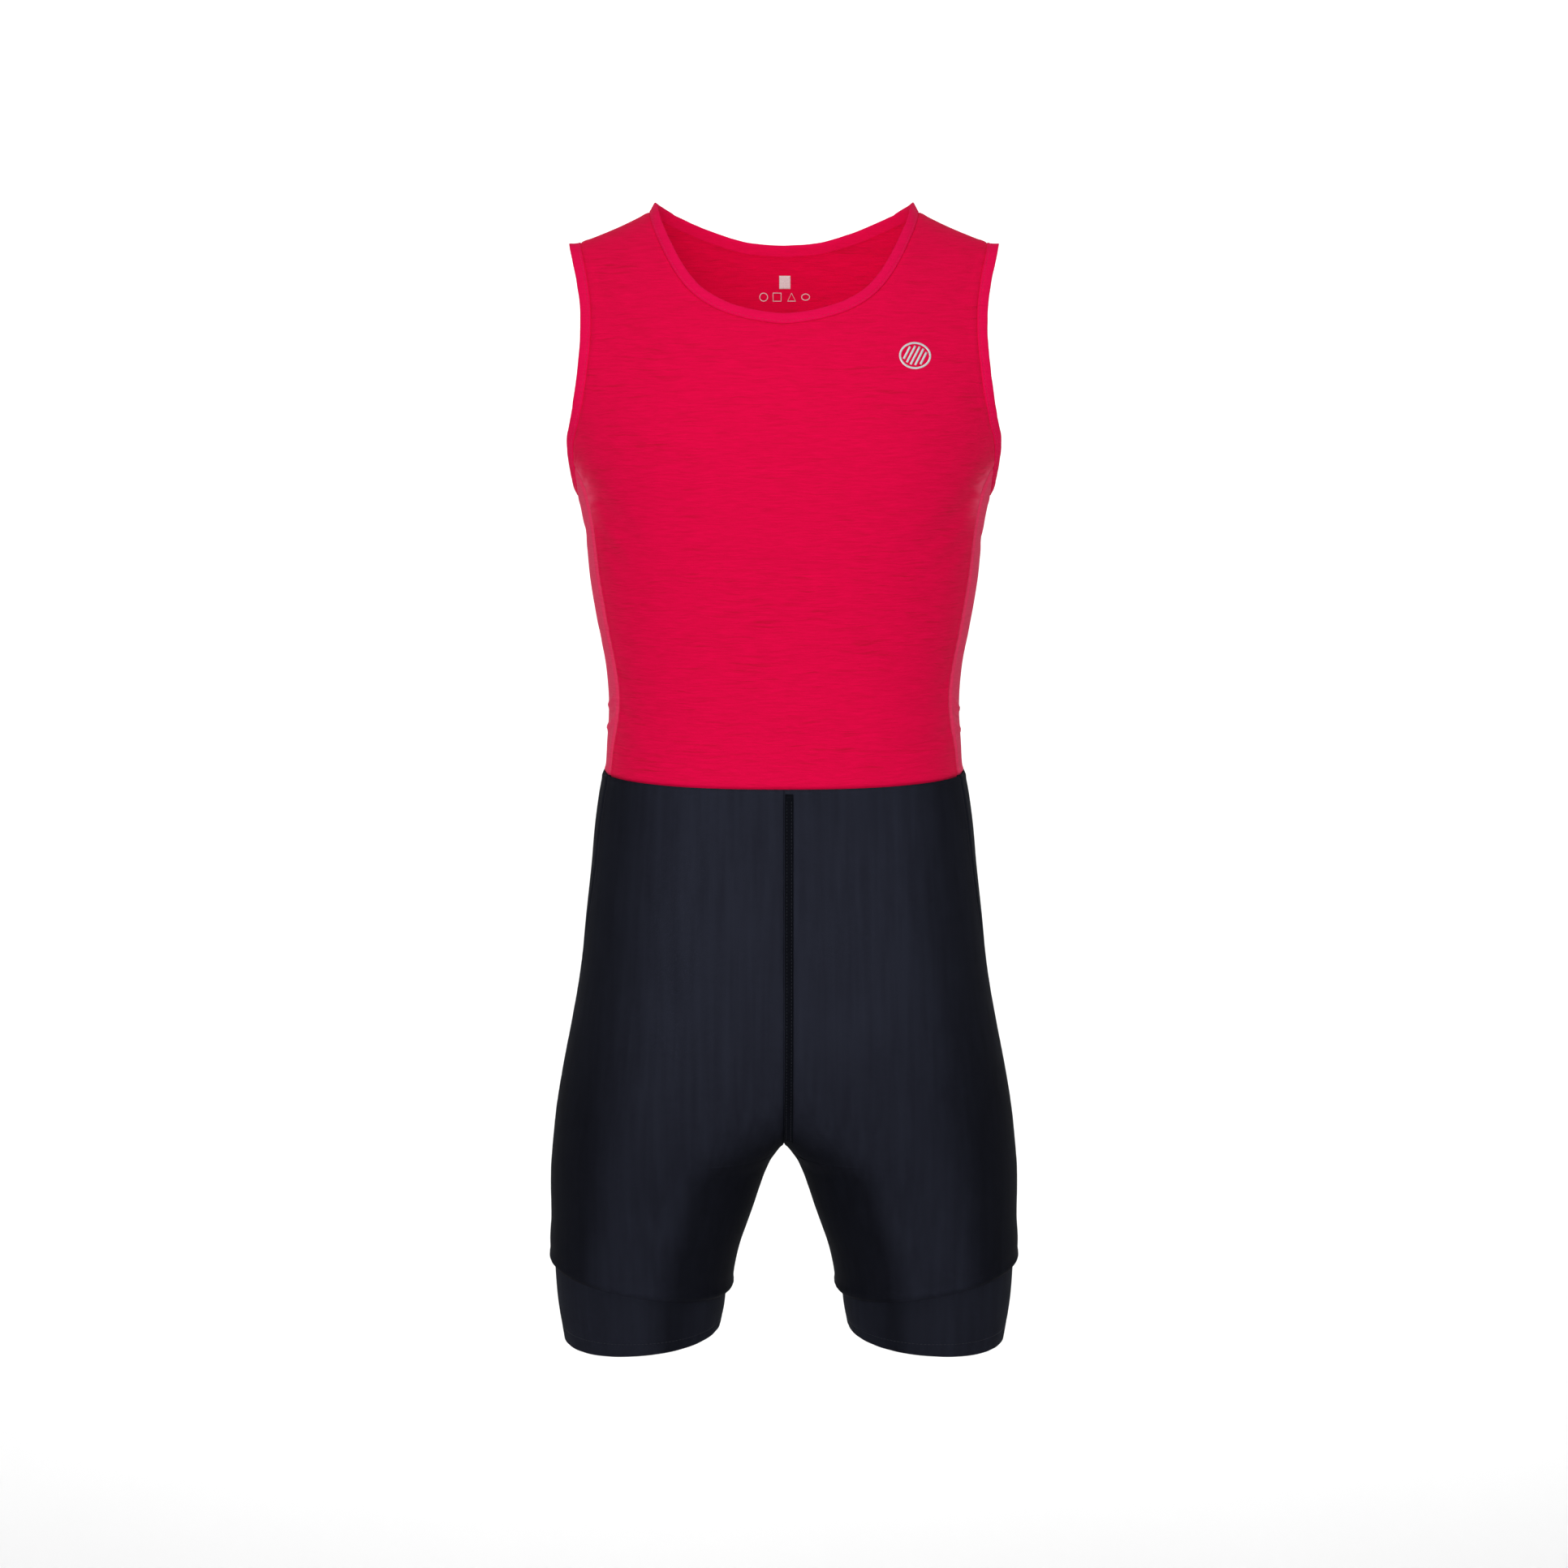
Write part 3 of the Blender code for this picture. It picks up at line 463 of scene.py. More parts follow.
def creasePaths():
    paths = []
    for depth, width, places in topCreases:
        spots = [torsoPoint(abs(math.radians(degrees)), height / 1000) * handed(math.copysign(1, degrees))
                 for degrees, height in places]
        paths.append((depth / 1000, width / 1000, smoothPath(spots)))
    for depth, width, facing, places in shortsCreases:
        spots = [shortsAcross(abs(across) / 1000, height / 1000, facing) * handed(math.copysign(1, across))
                 for across, height in places]
        paths.append((depth / 1000, width / 1000, smoothPath(spots)))
    return paths


creases = creasePaths()
# reach in widths, the raised rim beside the dent, how sharp it is, and the share of its length that fades
creaseShape = {"reach": 2.4, "shoulder": 0.9, "pinch": 1.1, "fade": 0.25}


def creaseLift(points):
    # how far the creases move each point along its normal
    flat = points.reshape(-1, 3)
    lift = np.zeros(len(flat))
    for depth, width, path in creases:
        reach = creaseShape["reach"] * width
        near = ((flat > path.min(0) - reach) & (flat < path.max(0) + reach)).all(1)
        if not near.any():
            continue
        spots = flat[near]
        closest = np.full(len(spots), np.inf)
        along = np.zeros(len(spots))
        for step, (start, finish) in enumerate(zip(path, path[1:])):
            run = finish - start
            share = np.clip(((spots - start) @ run) / (run @ run), 0, 1)
            away = np.linalg.norm(spots - start - share[:, None] * run, axis=1)
            nearer = away < closest
            closest[nearer] = away[nearer]
            along[nearer] = (step + share[nearer]) / (len(path) - 1)
        ends = smoothStep(np.minimum(along, 1 - along) / creaseShape["fade"])
        across = (closest / width) ** 2
        dip = depth * ends * (1 - creaseShape["shoulder"] * across)
        lift[near] -= dip * np.exp(-creaseShape["pinch"] * across)
    return lift.reshape(points.shape[:-1])


def fromStart(points, axis):
    # metres travelled along the cloth from its first row or column
    steps = np.linalg.norm(np.diff(points, axis=axis), axis=-1)
    start = np.zeros_like(np.take(steps, [0], axis=axis))
    return np.concatenate([start, np.cumsum(steps, axis=axis)], axis=axis)


def toEnd(points, axis):
    travelled = fromStart(points, axis)
    return np.take(travelled, [-1], axis=axis) - travelled


def gridNormals(points, ring=False):
    if ring:
        wide = np.concatenate([points[:, -1:], points, points[:, :1]], axis=1)
        alongRow = np.gradient(wide, axis=1)[:, 1:-1]
    else:
        alongRow = np.gradient(points, axis=1)
    return unit(np.cross(alongRow, np.gradient(points, axis=0)))


def gridQuads(rows, columns, ringRows=False, ringColumns=False, turned=False):
    index = np.arange(rows * columns).reshape(rows, columns)
    if ringColumns:
        index = np.concatenate([index, index[:, :1]], axis=1)
    if ringRows:
        index = np.concatenate([index, index[:1]], axis=0)
    quads = np.stack([index[:-1, :-1], index[:-1, 1:], index[1:, 1:], index[1:, :-1]], -1).reshape(-1, 4)
    return quads[:, ::-1] if turned else quads


def makeMesh(name, vertices, faces, weld=0.0, closed=False, paintedShading=None):
    data = bpy.data.meshes.new(name)
    data.from_pydata(np.reshape(vertices, (-1, 3)).tolist(), [], [list(map(int, face)) for face in faces])
    # a stored share of painted light and shade, read by the material
    if paintedShading is not None:
        values = data.attributes.new("paintedShading", "FLOAT", "POINT").data
        values.foreach_set("value", np.ravel(paintedShading).astype(np.float32))
    if weld or closed:
        build = bmesh.new()
        build.from_mesh(data)
        if weld:
            bmesh.ops.remove_doubles(build, verts=build.verts, dist=weld)
        if closed:
            bmesh.ops.recalc_face_normals(build, faces=build.faces)
        build.to_mesh(data)
        build.free()
    data.update()
    data.shade_smooth()
    return data


def makePiece(name, data, material, nodes=(), wall=0.0):
    piece = bpy.data.objects.new(name, data)
    bpy.context.scene.collection.objects.link(piece)
    data.materials.append(material)
    if wall:
        solid = piece.modifiers.new("wall", "SOLIDIFY")
        solid.thickness = wall
        solid.offset = -1
    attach(piece, "root")
    if nodes:
        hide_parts(*nodes)
    return piece


class SeamPath:
    # a sewn line on the garment, to ask how far a point lies from it and along it
    def __init__(self, points, spacing=0.0004):
        steps = np.linalg.norm(np.diff(points, axis=0), axis=1)
        travel = np.concatenate([[0.0], np.cumsum(steps)])
        self.length = travel[-1]
        self.along = np.linspace(0, self.length, int(self.length / spacing) + 2)
        self.points = np.stack([np.interp(self.along, travel, points[:, axis]) for axis in range(3)], -1)
        self.tree = KDTree(len(self.points))
        for place, point in enumerate(self.points):
            self.tree.insert(point, place)
        self.tree.balance()

    def measure(self, points):
        found = [self.tree.find(point) for point in points.reshape(-1, 3)]
        away = np.array([spot[2] for spot in found]).reshape(points.shape[:-1])
        along = self.along[[spot[1] for spot in found]].reshape(points.shape[:-1])
        return away, along


def ripples(seed, away, along, spacing, depth, length):
    # uneven little puckers, square to a seam, that fade away from it
    dice = np.random.default_rng(seed)
    total = np.zeros(away.shape)
    near = away < length * 4
    spot = dice.uniform(0, spacing)
    while spot < along.max():
        height = depth * dice.uniform(0.3, 1.0)
        reach = length * dice.uniform(0.6, 1.3)
        width = spacing * dice.uniform(0.24, 0.36)
        lean = dice.uniform(-0.25, 0.25)
        total[near] -= (height * hump(along[near] - spot - lean * away[near], width)
                        * np.exp(-((away[near] / reach) ** 1.6)))
        spot += spacing * dice.uniform(0.7, 1.6)
    return total


# a thread from end to end, in shares of its half length and its radius
spindle = {"corners": 6, "places": [-1.0, -0.72, 0.72, 1.0], "sizes": [0.25, 0.9, 0.9, 0.25],
           "lift": [-0.6, 0.35, 0.35, -0.6]}


def stitchRow(name, path, normals, settings):
    # short threads in a row, each a little spindle half sunk in the cloth
    steps = np.linalg.norm(np.diff(path, axis=0), axis=1)
    travel = np.concatenate([[0.0], np.cumsum(steps)])
    count = int(travel[-1] / settings["spacing"])
    middles = (np.arange(count) + 0.5) * travel[-1] / count
    half = settings["length"] / 2
    corners = np.linspace(0, 2 * math.pi, spindle["corners"], endpoint=False)
    sizes = np.array(spindle["sizes"]) * settings["radius"]
    spots = middles[:, None] + np.array(spindle["places"]) * half

    def at(values, keys):
        return np.stack([np.interp(keys, travel, values[:, axis]) for axis in range(3)], -1)

    centres = at(path, spots)
    up = unit(at(normals, spots))
    ahead = unit(centres[:, -1:] - centres[:, :1]) + np.zeros_like(centres)
    sideways = unit(np.cross(ahead, up))
    lift = up * (settings["radius"] * np.array(spindle["lift"]))[:, None]
    ring = np.cos(corners)[:, None] * sideways[..., None, :] + np.sin(corners)[:, None] * up[..., None, :]
    vertices = (centres + lift)[..., None, :] + ring * sizes[:, None, None]
    rings, around = len(sizes), spindle["corners"]
    walls = gridQuads(rings, around, ringColumns=True)
    firstCap = np.arange(around)
    faces = []
    for start in range(0, count * rings * around, rings * around):
        faces.extend((walls + start).tolist())
        faces.append((firstCap + start).tolist())
        faces.append((firstCap + start + (rings - 1) * around)[::-1].tolist())
    return makeMesh(name, vertices, faces, closed=True)


# Materials

def newMaterial(name):
    material = bpy.data.materials.new(name)
    material.use_nodes = True
    nodes = material.node_tree.nodes
    shader = nodes["Principled BSDF"]
    return material, nodes, material.node_tree.links, shader


def stretchedNoise(nodes, links, scale, detail=2.0, roughness=0.55, place=None):
    # noise whose grain is long where its scale is low
    if place is None:
        place = nodes.new("ShaderNodeTexCoord").outputs["Object"]
    mapping = nodes.new("ShaderNodeMapping")
    mapping.inputs["Scale"].default_value = scale
    noise = nodes.new("ShaderNodeTexNoise")
    noise.inputs["Scale"].default_value = 1.0
    noise.inputs["Detail"].default_value = detail
    noise.inputs["Roughness"].default_value = roughness
    links.new(place, mapping.inputs["Vector"])
    links.new(mapping.outputs["Vector"], noise.inputs["Vector"])
    return noise.outputs["Fac"]


def ramp(nodes, links, value, low, high):
    spread = nodes.new("ShaderNodeMapRange")
    spread.inputs["From Min"].default_value = low
    spread.inputs["From Max"].default_value = high
    links.new(value, spread.inputs["Value"])
    return spread.outputs["Result"]


def blendColour(nodes, links, share, first, second):
    mixer = nodes.new("ShaderNodeMix")
    mixer.data_type = "RGBA"
    colours = [socket for socket in mixer.inputs if socket.type == "RGBA"]
    for socket, value in zip(colours, (first, second)):
        if hasattr(value, "links"):
            links.new(value, socket)
        else:
            socket.default_value = (*value, 1.0)
    links.new(share, mixer.inputs["Factor"])
    return [socket for socket in mixer.outputs if socket.type == "RGBA"][0]


def shaded(colour, share):
    return tuple(share * part for part in colour)


def combine(nodes, links, operation, *values):
    sums = nodes.new("ShaderNodeMath")
    sums.operation = operation
    for socket, value in zip(sums.inputs, values):
        if hasattr(value, "links"):
            links.new(value, socket)
        else:
            socket.default_value = value
    return sums.outputs["Value"]


def addBump(nodes, links, shader, height, distance, strength=1.0):
    bump = nodes.new("ShaderNodeBump")
    bump.inputs["Distance"].default_value = distance
    bump.inputs["Strength"].default_value = strength
    links.new(height, bump.inputs["Height"])
    links.new(bump.outputs["Normal"], shader.inputs["Normal"])


def paintedShadingShare(nodes):
    # share of painted light and shade, as stored on the mesh: the painted sheen under the arms on the top,
    # the painted shade on the shorts and leg bands
    paintedShading = nodes.new("ShaderNodeAttribute")
    paintedShading.attribute_name = "paintedShading"
    return paintedShading.outputs["Fac"]


# noise for the knit: scale per metre, detail, roughness
knitGrain = {
    "sway": ((38, 38, 60), 2.0, 0.5),
    "courses": ((62, 62, 1050), 3.0, 0.6),
    "slubs": ((36, 36, 560), 3.0, 0.55),
    "patches": ((14, 14, 30), 2.0, 0.5),
    "loops": ((1500, 1500, 1500), 1.0, 0.5),
    "courseRange": (0.28, 0.72),
    "patchRange": (0.30, 0.62),
}


def slubKnit(name, settings):
    # knit of uneven yarn: fine level streaks with a few darker slubs over small loops
    material, nodes, links, shader = newMaterial(name)
    place = nodes.new("ShaderNodeTexCoord").outputs["Object"]
    sway = stretchedNoise(nodes, links, *knitGrain["sway"], place)
    level = nodes.new("ShaderNodeCombineXYZ")
    links.new(combine(nodes, links, "MULTIPLY", sway, settings["sway"]), level.inputs["Z"])
    wavy = nodes.new("ShaderNodeVectorMath")
    links.new(place, wavy.inputs[0])
    links.new(level.outputs["Vector"], wavy.inputs[1])
    courses = stretchedNoise(nodes, links, *knitGrain["courses"], wavy.outputs["Vector"])
    slubs = stretchedNoise(nodes, links, *knitGrain["slubs"], wavy.outputs["Vector"])
    patches = stretchedNoise(nodes, links, *knitGrain["patches"], place)
    loops = stretchedNoise(nodes, links, *knitGrain["loops"], place)
    yarn = ramp(nodes, links, courses, *knitGrain["courseRange"])
    colour = blendColour(nodes, links, yarn, settings["dark"], settings["bright"])
    slubShare = ramp(nodes, links, slubs, settings["slubFrom"], settings["slubTo"])
    inPatches = ramp(nodes, links, patches, *knitGrain["patchRange"])
    slubShare = combine(nodes, links, "MULTIPLY", slubShare, inPatches)
    slubShare = combine(nodes, links, "MULTIPLY", slubShare, settings["slubStrength"])
    colour = blendColour(nodes, links, slubShare, colour, settings["slub"])
    # painted sheen: the paler patch under the arms, mixed in by the stored share
    if settings["paintedSheen"]:
        colour = blendColour(nodes, links, paintedShadingShare(nodes), colour, settings["paintedSheen"])
    links.new(colour, shader.inputs["Base Color"])
    shader.inputs["Roughness"].default_value = settings["roughness"]
    shader.inputs["Specular IOR Level"].default_value = settings["specular"]
    shader.inputs["Sheen Weight"].default_value = settings["sheen"]
    shader.inputs["Sheen Roughness"].default_value = settings["sheenRoughness"]
    shader.inputs["Sheen Tint"].default_value = (*settings["sheenTint"], 1.0)
    height = combine(nodes, links, "MULTIPLY_ADD", loops, settings["loopShare"], courses)
    addBump(nodes, links, shader, height, settings["bump"])
    return material


# the paler pink below is a painted sheen for the patch under the arms
redKnit = slubKnit("red_slub_knit", {
    "dark": (0.660, 0.0016, 0.046), "bright": (0.800, 0.0014, 0.062), "slub": (0.500, 0.0040, 0.028),
    "slubFrom": 0.55, "slubTo": 0.72, "slubStrength": 0.75, "paintedSheen": (0.80, 0.105, 0.190),
    "roughness": 0.86, "specular": 0.05,
    "sheen": 0.05, "sheenRoughness": 0.45, "sheenTint": (1.0, 0.40, 0.50),
    "loopShare": 0.6, "bump": 0.00024, "sway": 0.0040,
})
sideKnit = slubKnit("red_plain_knit", {
    "dark": (0.780, 0.0300, 0.105), "bright": (0.860, 0.0420, 0.130), "slub": (0.700, 0.0200, 0.080),
    "slubFrom": 0.60, "slubTo": 0.80, "slubStrength": 0.3, "paintedSheen": None,
    "roughness": 0.84, "specular": 0.03,
    "sheen": 0.06, "sheenRoughness": 0.40, "sheenTint": (1.0, 0.55, 0.62),
    "loopShare": 0.9, "bump": 0.0002, "sway": 0.0020,
})
bindingKnit = slubKnit("red_binding_knit", {
    "dark": (0.730, 0.0022, 0.064), "bright": (0.810, 0.0026, 0.078), "slub": (0.640, 0.0030, 0.045),
    "slubFrom": 0.58, "slubTo": 0.76, "slubStrength": 0.4, "paintedSheen": None,
    "roughness": 0.82, "specular": 0.05,
    "sheen": 0.02, "sheenRoughness": 0.45, "sheenTint": (1.0, 0.50, 0.58),
    "loopShare": 0.9, "bump": 0.00022, "sway": 0.0020,
})


stretchGrain = {
    "satin": ((150, 150, 5), 2.0, 0.5),
    "mottle": ((28, 28, 16), 2.0, 0.5),
    "knit": ((2600, 2600, 1700), 1.0, 0.5),
    "satinShare": 0.6,
    "streakRange": (0.35, 0.65),
}


def stretchCloth(name, settings):
    # smooth satin stretch cloth: upright faint streaks and a very fine knit
    material, nodes, links, shader = newMaterial(name)
    place = nodes.new("ShaderNodeTexCoord").outputs["Object"]
    satin, mottle, knit = [stretchedNoise(nodes, links, *stretchGrain[kind], place)
                           for kind in ("satin", "mottle", "knit")]
    mottleShare = combine(nodes, links, "MULTIPLY", mottle, 1 - stretchGrain["satinShare"])
    share = combine(nodes, links, "MULTIPLY_ADD", satin, stretchGrain["satinShare"], mottleShare)
    streaks = ramp(nodes, links, share, *stretchGrain["streakRange"])

    def streaked(tone):
        dark, bright = shaded(settings["dark"], tone), shaded(settings["bright"], tone)
        return blendColour(nodes, links, streaks, dark, bright)

    # painted light and shade: the stored share blends a painted shaded tone into a painted lit tone
    colour = streaked(settings["tight"])
    if settings["paintedShade"]:
        colour = blendColour(nodes, links, paintedShadingShare(nodes), streaked(settings["paintedShade"]), colour)
    links.new(colour, shader.inputs["Base Color"])
    swing = settings["roughSwing"]
    rough = combine(nodes, links, "MULTIPLY_ADD", mottle, swing, settings["roughness"] - swing / 2)
    links.new(rough, shader.inputs["Roughness"])
    shader.inputs["Specular IOR Level"].default_value = settings["specular"]
    addBump(nodes, links, shader, knit, settings["bump"])
    return material


# the two tones paint light and shade: how bright the cloth is where it is in painted shade and where it is in
# painted light
navyCloth = stretchCloth("navy_stretch_cloth", {
    "dark": (0.0118, 0.0130, 0.0205), "bright": (0.0150, 0.0168, 0.0262), "paintedShade": 0.45, "tight": 1.22,
    "roughness": 0.78, "roughSwing": 0.06, "specular": 0.020, "bump": 0.00006,
})
navyBand = stretchCloth("navy_band_cloth", {
    "dark": (0.0108, 0.0118, 0.0184), "bright": (0.0134, 0.0150, 0.0232), "paintedShade": 0.50, "tight": 1.0,
    "roughness": 0.80, "roughSwing": 0.06, "specular": 0.020, "bump": 0.00009,
})
darkTape = stretchCloth("dark_tape", {
    "dark": (0.0032, 0.0037, 0.0058), "bright": (0.0044, 0.0051, 0.0080), "paintedShade": None, "tight": 1.0,
    "roughness": 0.62, "roughSwing": 0.06, "specular": 0.015, "bump": 0.00009,
})


def plainThread(name, colour):
    material, nodes, links, shader = newMaterial(name)
    twist = stretchedNoise(nodes, links, (3800, 3800, 3800), 1.0, 0.5)
    tone = blendColour(nodes, links, ramp(nodes, links, twist, 0.35, 0.65), shaded(colour, 0.75), colour)
    links.new(tone, shader.inputs["Base Color"])
    shader.inputs["Roughness"].default_value = 0.6
    shader.inputs["Specular IOR Level"].default_value = 0.25
    return material


def printInk(name, colour, roughness, metallic):
    # ink that follows the knit: a little uneven and slightly broken up
    material, nodes, links, shader = newMaterial(name)
    grain = stretchedNoise(nodes, links, (1400, 1400, 1400), 2.0, 0.6)
    tone = blendColour(nodes, links, ramp(nodes, links, grain, 0.3, 0.6), shaded(colour, 0.8), colour)
    links.new(tone, shader.inputs["Base Color"])
    shader.inputs["Roughness"].default_value = roughness
    shader.inputs["Metallic"].default_value = metallic
    addBump(nodes, links, shader, grain, 0.00005)
    return material


redThread = plainThread("red_thread", (0.70, 0.010, 0.085))
navyThread = plainThread("navy_thread", (0.012, 0.014, 0.022))
silverPrint = printInk("silver_print", (0.74, 0.74, 0.76), 0.42, 0.15)
whitePrint = printInk("white_print", (0.80, 0.79, 0.79), 0.7, 0.0)


def floorPaint():
    material, nodes, links, shader = newMaterial("pale_floor")
    cloud = stretchedNoise(nodes, links, (0.8, 0.8, 0.8), 2.0, 0.5)
    tone = blendColour(nodes, links, cloud, (0.84, 0.84, 0.84), (0.87, 0.87, 0.87))
    links.new(tone, shader.inputs["Base Color"])
    shader.inputs["Roughness"].default_value = 0.9
    return material


paleFloor = floorPaint()
print("materials ready")


# Sewn lines of the top, and what sewing does to the cloth beside them

def torsoNormals(angle, height):
    slip = 0.0005
    turn = torsoPoint(angle + slip, height) - torsoPoint(angle - slip, height)
    climb = torsoPoint(angle, height + slip) - torsoPoint(angle, height - slip)
    return unit(np.cross(turn, climb))


full = np.linspace(0, 1, 400)
armLine = torsoPoint(*armhole.read(full))
armSeam = SeamPath(np.concatenate([armLine, armLine[:1]]))
neckLine = np.concatenate([torsoPoint(*frontNeck.read(full)), torsoPoint(*backNeck.read(full[::-1]))])
neckSeam = SeamPath(neckLine)
seamPaths = {}
for facing in (1, -1):
    seamPaths[facing] = SeamPath(torsoPoint(*outerPlace(full * topRows["seamShare"], facing)))

# the allowance shows as a ridge beside the seam, and the stitches as a dent on it:
# ridge height, distance and width, then dent depth and width
seamForms = {
    "binding": (0.00030, 0.0044, 0.0024, 0.0007, 0.0011),
    "side": (0.00035, 0.0042, 0.0020, 0.0010, 0.0014),
    "innerLeg": (0.00015, 0.0044, 0.0022, 0.0007, 0.0014),
    "outerLeg": (0.00020, 0.0044, 0.0022, 0.0007, 0.0014),
    "waist": (0.00035, 0.0030, 0.0020, 0.0004, 0.0010),
    "legLip": (0.00100, 0.0046, 0.0032, 0.0014, 0.0016),
}
# spacing, depth and length of the puckers
puckers = {
    "binding": (0.0075, 0.00030, 0.0065),
    "side": (0.0064, 0.00050, 0.0080),
    "outerLeg": (0.0090, 0.00014, 0.0080),
    "legLip": (0.0110, 0.00022, 0.0070),
    "band": (0.0160, 0.00030, 0.0200),
}


def seamLift(away, kind):
    ridge, ridgeAway, ridgeWidth, dent, dentWidth = seamForms[kind]
    return ridge * hump(away - ridgeAway, ridgeWidth) - dent * hump(away, dentWidth)


def edgeLift(base, seed):
    # all the sewn edges of one half of the top
    seams = [(armSeam, "binding", seed), (neckSeam, "binding", seed + 1)]
    seams += [(path, "side", seed + 3 + facing) for facing, path in seamPaths.items()]
    lift = np.zeros(base.shape[:-1])
    for path, kind, roll in seams:
        away, along = path.measure(base)
        lift += seamLift(away, kind)
        lift += ripples(roll, away, along, *puckers[kind])
    return lift


# The top's front and back: each half is laid from the centre line out, then the halves are joined

panel = {
    "columns": 70,        # from the centre to the edge strip
    "edgeColumns": 12,    # crowded by the outer edge
    "edgeShare": 0.05,
    "edgePower": 1.5,
    "seamRoom": 0.0004,   # share of a row left open at the side seam
    "rows": 176,
    "ridgeRows": 26,      # crowded where the cloth turns over the shoulder
    "ridgeShare": 0.07,
    "ridgePower": 2.0,
    "weld": 0.00001,
    "tuckRows": 4,        # turned in under the shorts
    "tuckLength": 0.0036,
    "tuckDepth": 0.0012,
    "tuckStart": 0.0014,
    "tuckBend": 0.0022,
    "hemRoll": (0.0006, 0.0024, 0.0016),   # height, distance from the seam, width
    "centreBlend": 0.006,
    "waistRise": 0.0024,
    "waistReach": 1.1,    # half widths from the centre, where the rise stops growing
    "waistFade": 0.028,
}


def crowded(count, edgeCount, edgeShare, power):
    # shares from 0 to 1 that crowd towards 1
    steady = np.linspace(0, 1 - edgeShare, count + 1)
    close = 1 - edgeShare * (1 - np.linspace(0, 1, edgeCount + 1)[1:]) ** power
    return np.concatenate([steady, close])


sideShares = crowded(panel["columns"], panel["edgeColumns"], panel["edgeShare"], panel["edgePower"])
sideShares = sideShares * (1 - panel["seamRoom"])
topTravels = crowded(panel["rows"], panel["ridgeRows"], panel["ridgeShare"], panel["ridgePower"])
for neckStart in (topRows["frontStraight"], topRows["backStraight"]):
    topTravels[np.abs(topTravels - neckStart).argmin()] = neckStart


def raiseWaist(points):
    # the waist seam climbs a little towards the sides
    out = np.abs(points[..., 0]) / torso.read("halfWidth", body["topHem"])
    out = np.minimum(out, panel["waistReach"])
    rise = panel["waistRise"] * out**3 * hump(points[..., 2] - body["topHem"], panel["waistFade"])
    return points + rise[..., None] * upright


def withTuck(base):
    down = np.linspace(1, 0, panel["tuckRows"], endpoint=False)[:, None, None]
    return np.concatenate([base[:1] - down * panel["tuckLength"] * upright, base])


def hemLift(base):
    # a rolled edge above the waist seam, and the part tucked in below it
    above = fromStart(base, 0) - panel["tuckLength"]
    height, distance, width = panel["hemRoll"]
    tucked = smoothStep((panel["tuckStart"] - above) / panel["tuckBend"])
    return height * hump(above - distance, width) - panel["tuckDepth"] * tucked


# where the painted sheen lies under the arms, how strong it is, and its threads and reach
underArm = {"height": -0.2095, "spread": 0.022, "strength": 0.95, "seamLength": 0.4,
            "threads": (0.0011, 0.4, 1.0), "reach": (0.0017, 0.006, 0.0135)}   # spacing, least, most


def paintedSheen(away, along, height, seed):
    # painted sheen: a paler patch beside the side seam under each arm, in short threads square to the seam
    dice = np.random.default_rng(seed)

    def uneven(spacing, least, most):
        places = np.arange(0, underArm["seamLength"], spacing)
        return np.interp(along, places, dice.uniform(least, most, len(places)))

    threads, reach = uneven(*underArm["threads"]), uneven(*underArm["reach"])
    near = hump(height - underArm["height"], underArm["spread"])
    return underArm["strength"] * threads * hump(away, reach) * near


def topPanel(name, facing):
    side, travel = np.meshgrid(sideShares, topTravels)
    base = raiseWaist(withTuck(torsoPoint(*topPlace(side, travel, facing))))
    normals = gridNormals(base) * facing
    onCentre = np.abs(base[:, 0, 0]) < 1e-6
    normals[onCentre, 0, 0] = 0.0
    normals = unit(normals)
    below = hemLift(base)
    halves, faces, paintedSheens = [], [], []
    away, along = seamPaths[facing].measure(base)
    sides = ((1, 31), (-1, 57))   # hand, seed
    edgeLifts = [edgeLift(base, seed + 5 * facing) for _, seed in sides]
    joined = hump(base[..., 0], panel["centreBlend"])
    for order, (hand, seed) in enumerate(sides):
        turn = handed(hand)
        lift = creaseLift(base * turn) + below + mix(edgeLifts[order], sum(edgeLifts) / 2, joined)
        halves.append((base + normals * lift[..., None]) * turn)
        # the painted sheen, on the front only
        paintedSheens.append(paintedSheen(away, along, base[..., 2], seed) * (facing > 0))
        quads = gridQuads(*base.shape[:2], turned=hand * facing < 0)
        faces.append(quads + order * base.shape[0] * base.shape[1])
    vertices = np.concatenate([half.reshape(-1, 3) for half in halves])
    data = makeMesh(name, vertices, np.concatenate(faces), weld=panel["weld"], paintedShading=np.array(paintedSheens))
    return makePiece(name + "_cloth", data, redKnit, (name,), body["topWall"])


def bothEnds(count, edgeCount, edgeShare, power=1.4):
    # shares from 0 to 1 that crowd towards both ends
    edge = edgeShare * np.linspace(0, 1, edgeCount + 1)[:-1] ** power
    return np.concatenate([edge, np.linspace(edgeShare, 1 - edgeShare, count), 1 - edge[::-1]])


sideStrip = {"columns": 22, "edgeColumns": 8, "edgeShare": 0.12, "rows": 112, "seamRoom": 0.0012}


def sidePanel(name, hand, seed):
    shares = bothEnds(sideStrip["columns"], sideStrip["edgeColumns"], sideStrip["edgeShare"])
    shares = mix(sideStrip["seamRoom"], 1 - sideStrip["seamRoom"], shares)
    side, travel = np.meshgrid(shares, np.linspace(0, 1, sideStrip["rows"]))
    base = raiseWaist(withTuck(torsoPoint(*sidePlace(side, travel))))
    lift = creaseLift(base * handed(hand)) + hemLift(base) + edgeLift(base, seed)
    points = (base + gridNormals(base) * lift[..., None]) * handed(hand)
    data = makeMesh(name, points, gridQuads(*base.shape[:2], turned=hand < 0))
    return makePiece(name + "_cloth", data, sideKnit, (name,), body["topWall"])


topFront = topPanel("top_front", 1)
topBack = topPanel("top_back", -1)
sideLeft = sidePanel("side_panel_left", 1, 71)
sideRight = sidePanel("side_panel_right", -1, 83)
print("top laid and creased")

# Folded bindings: a section wrapped over the raw edge and carried round it

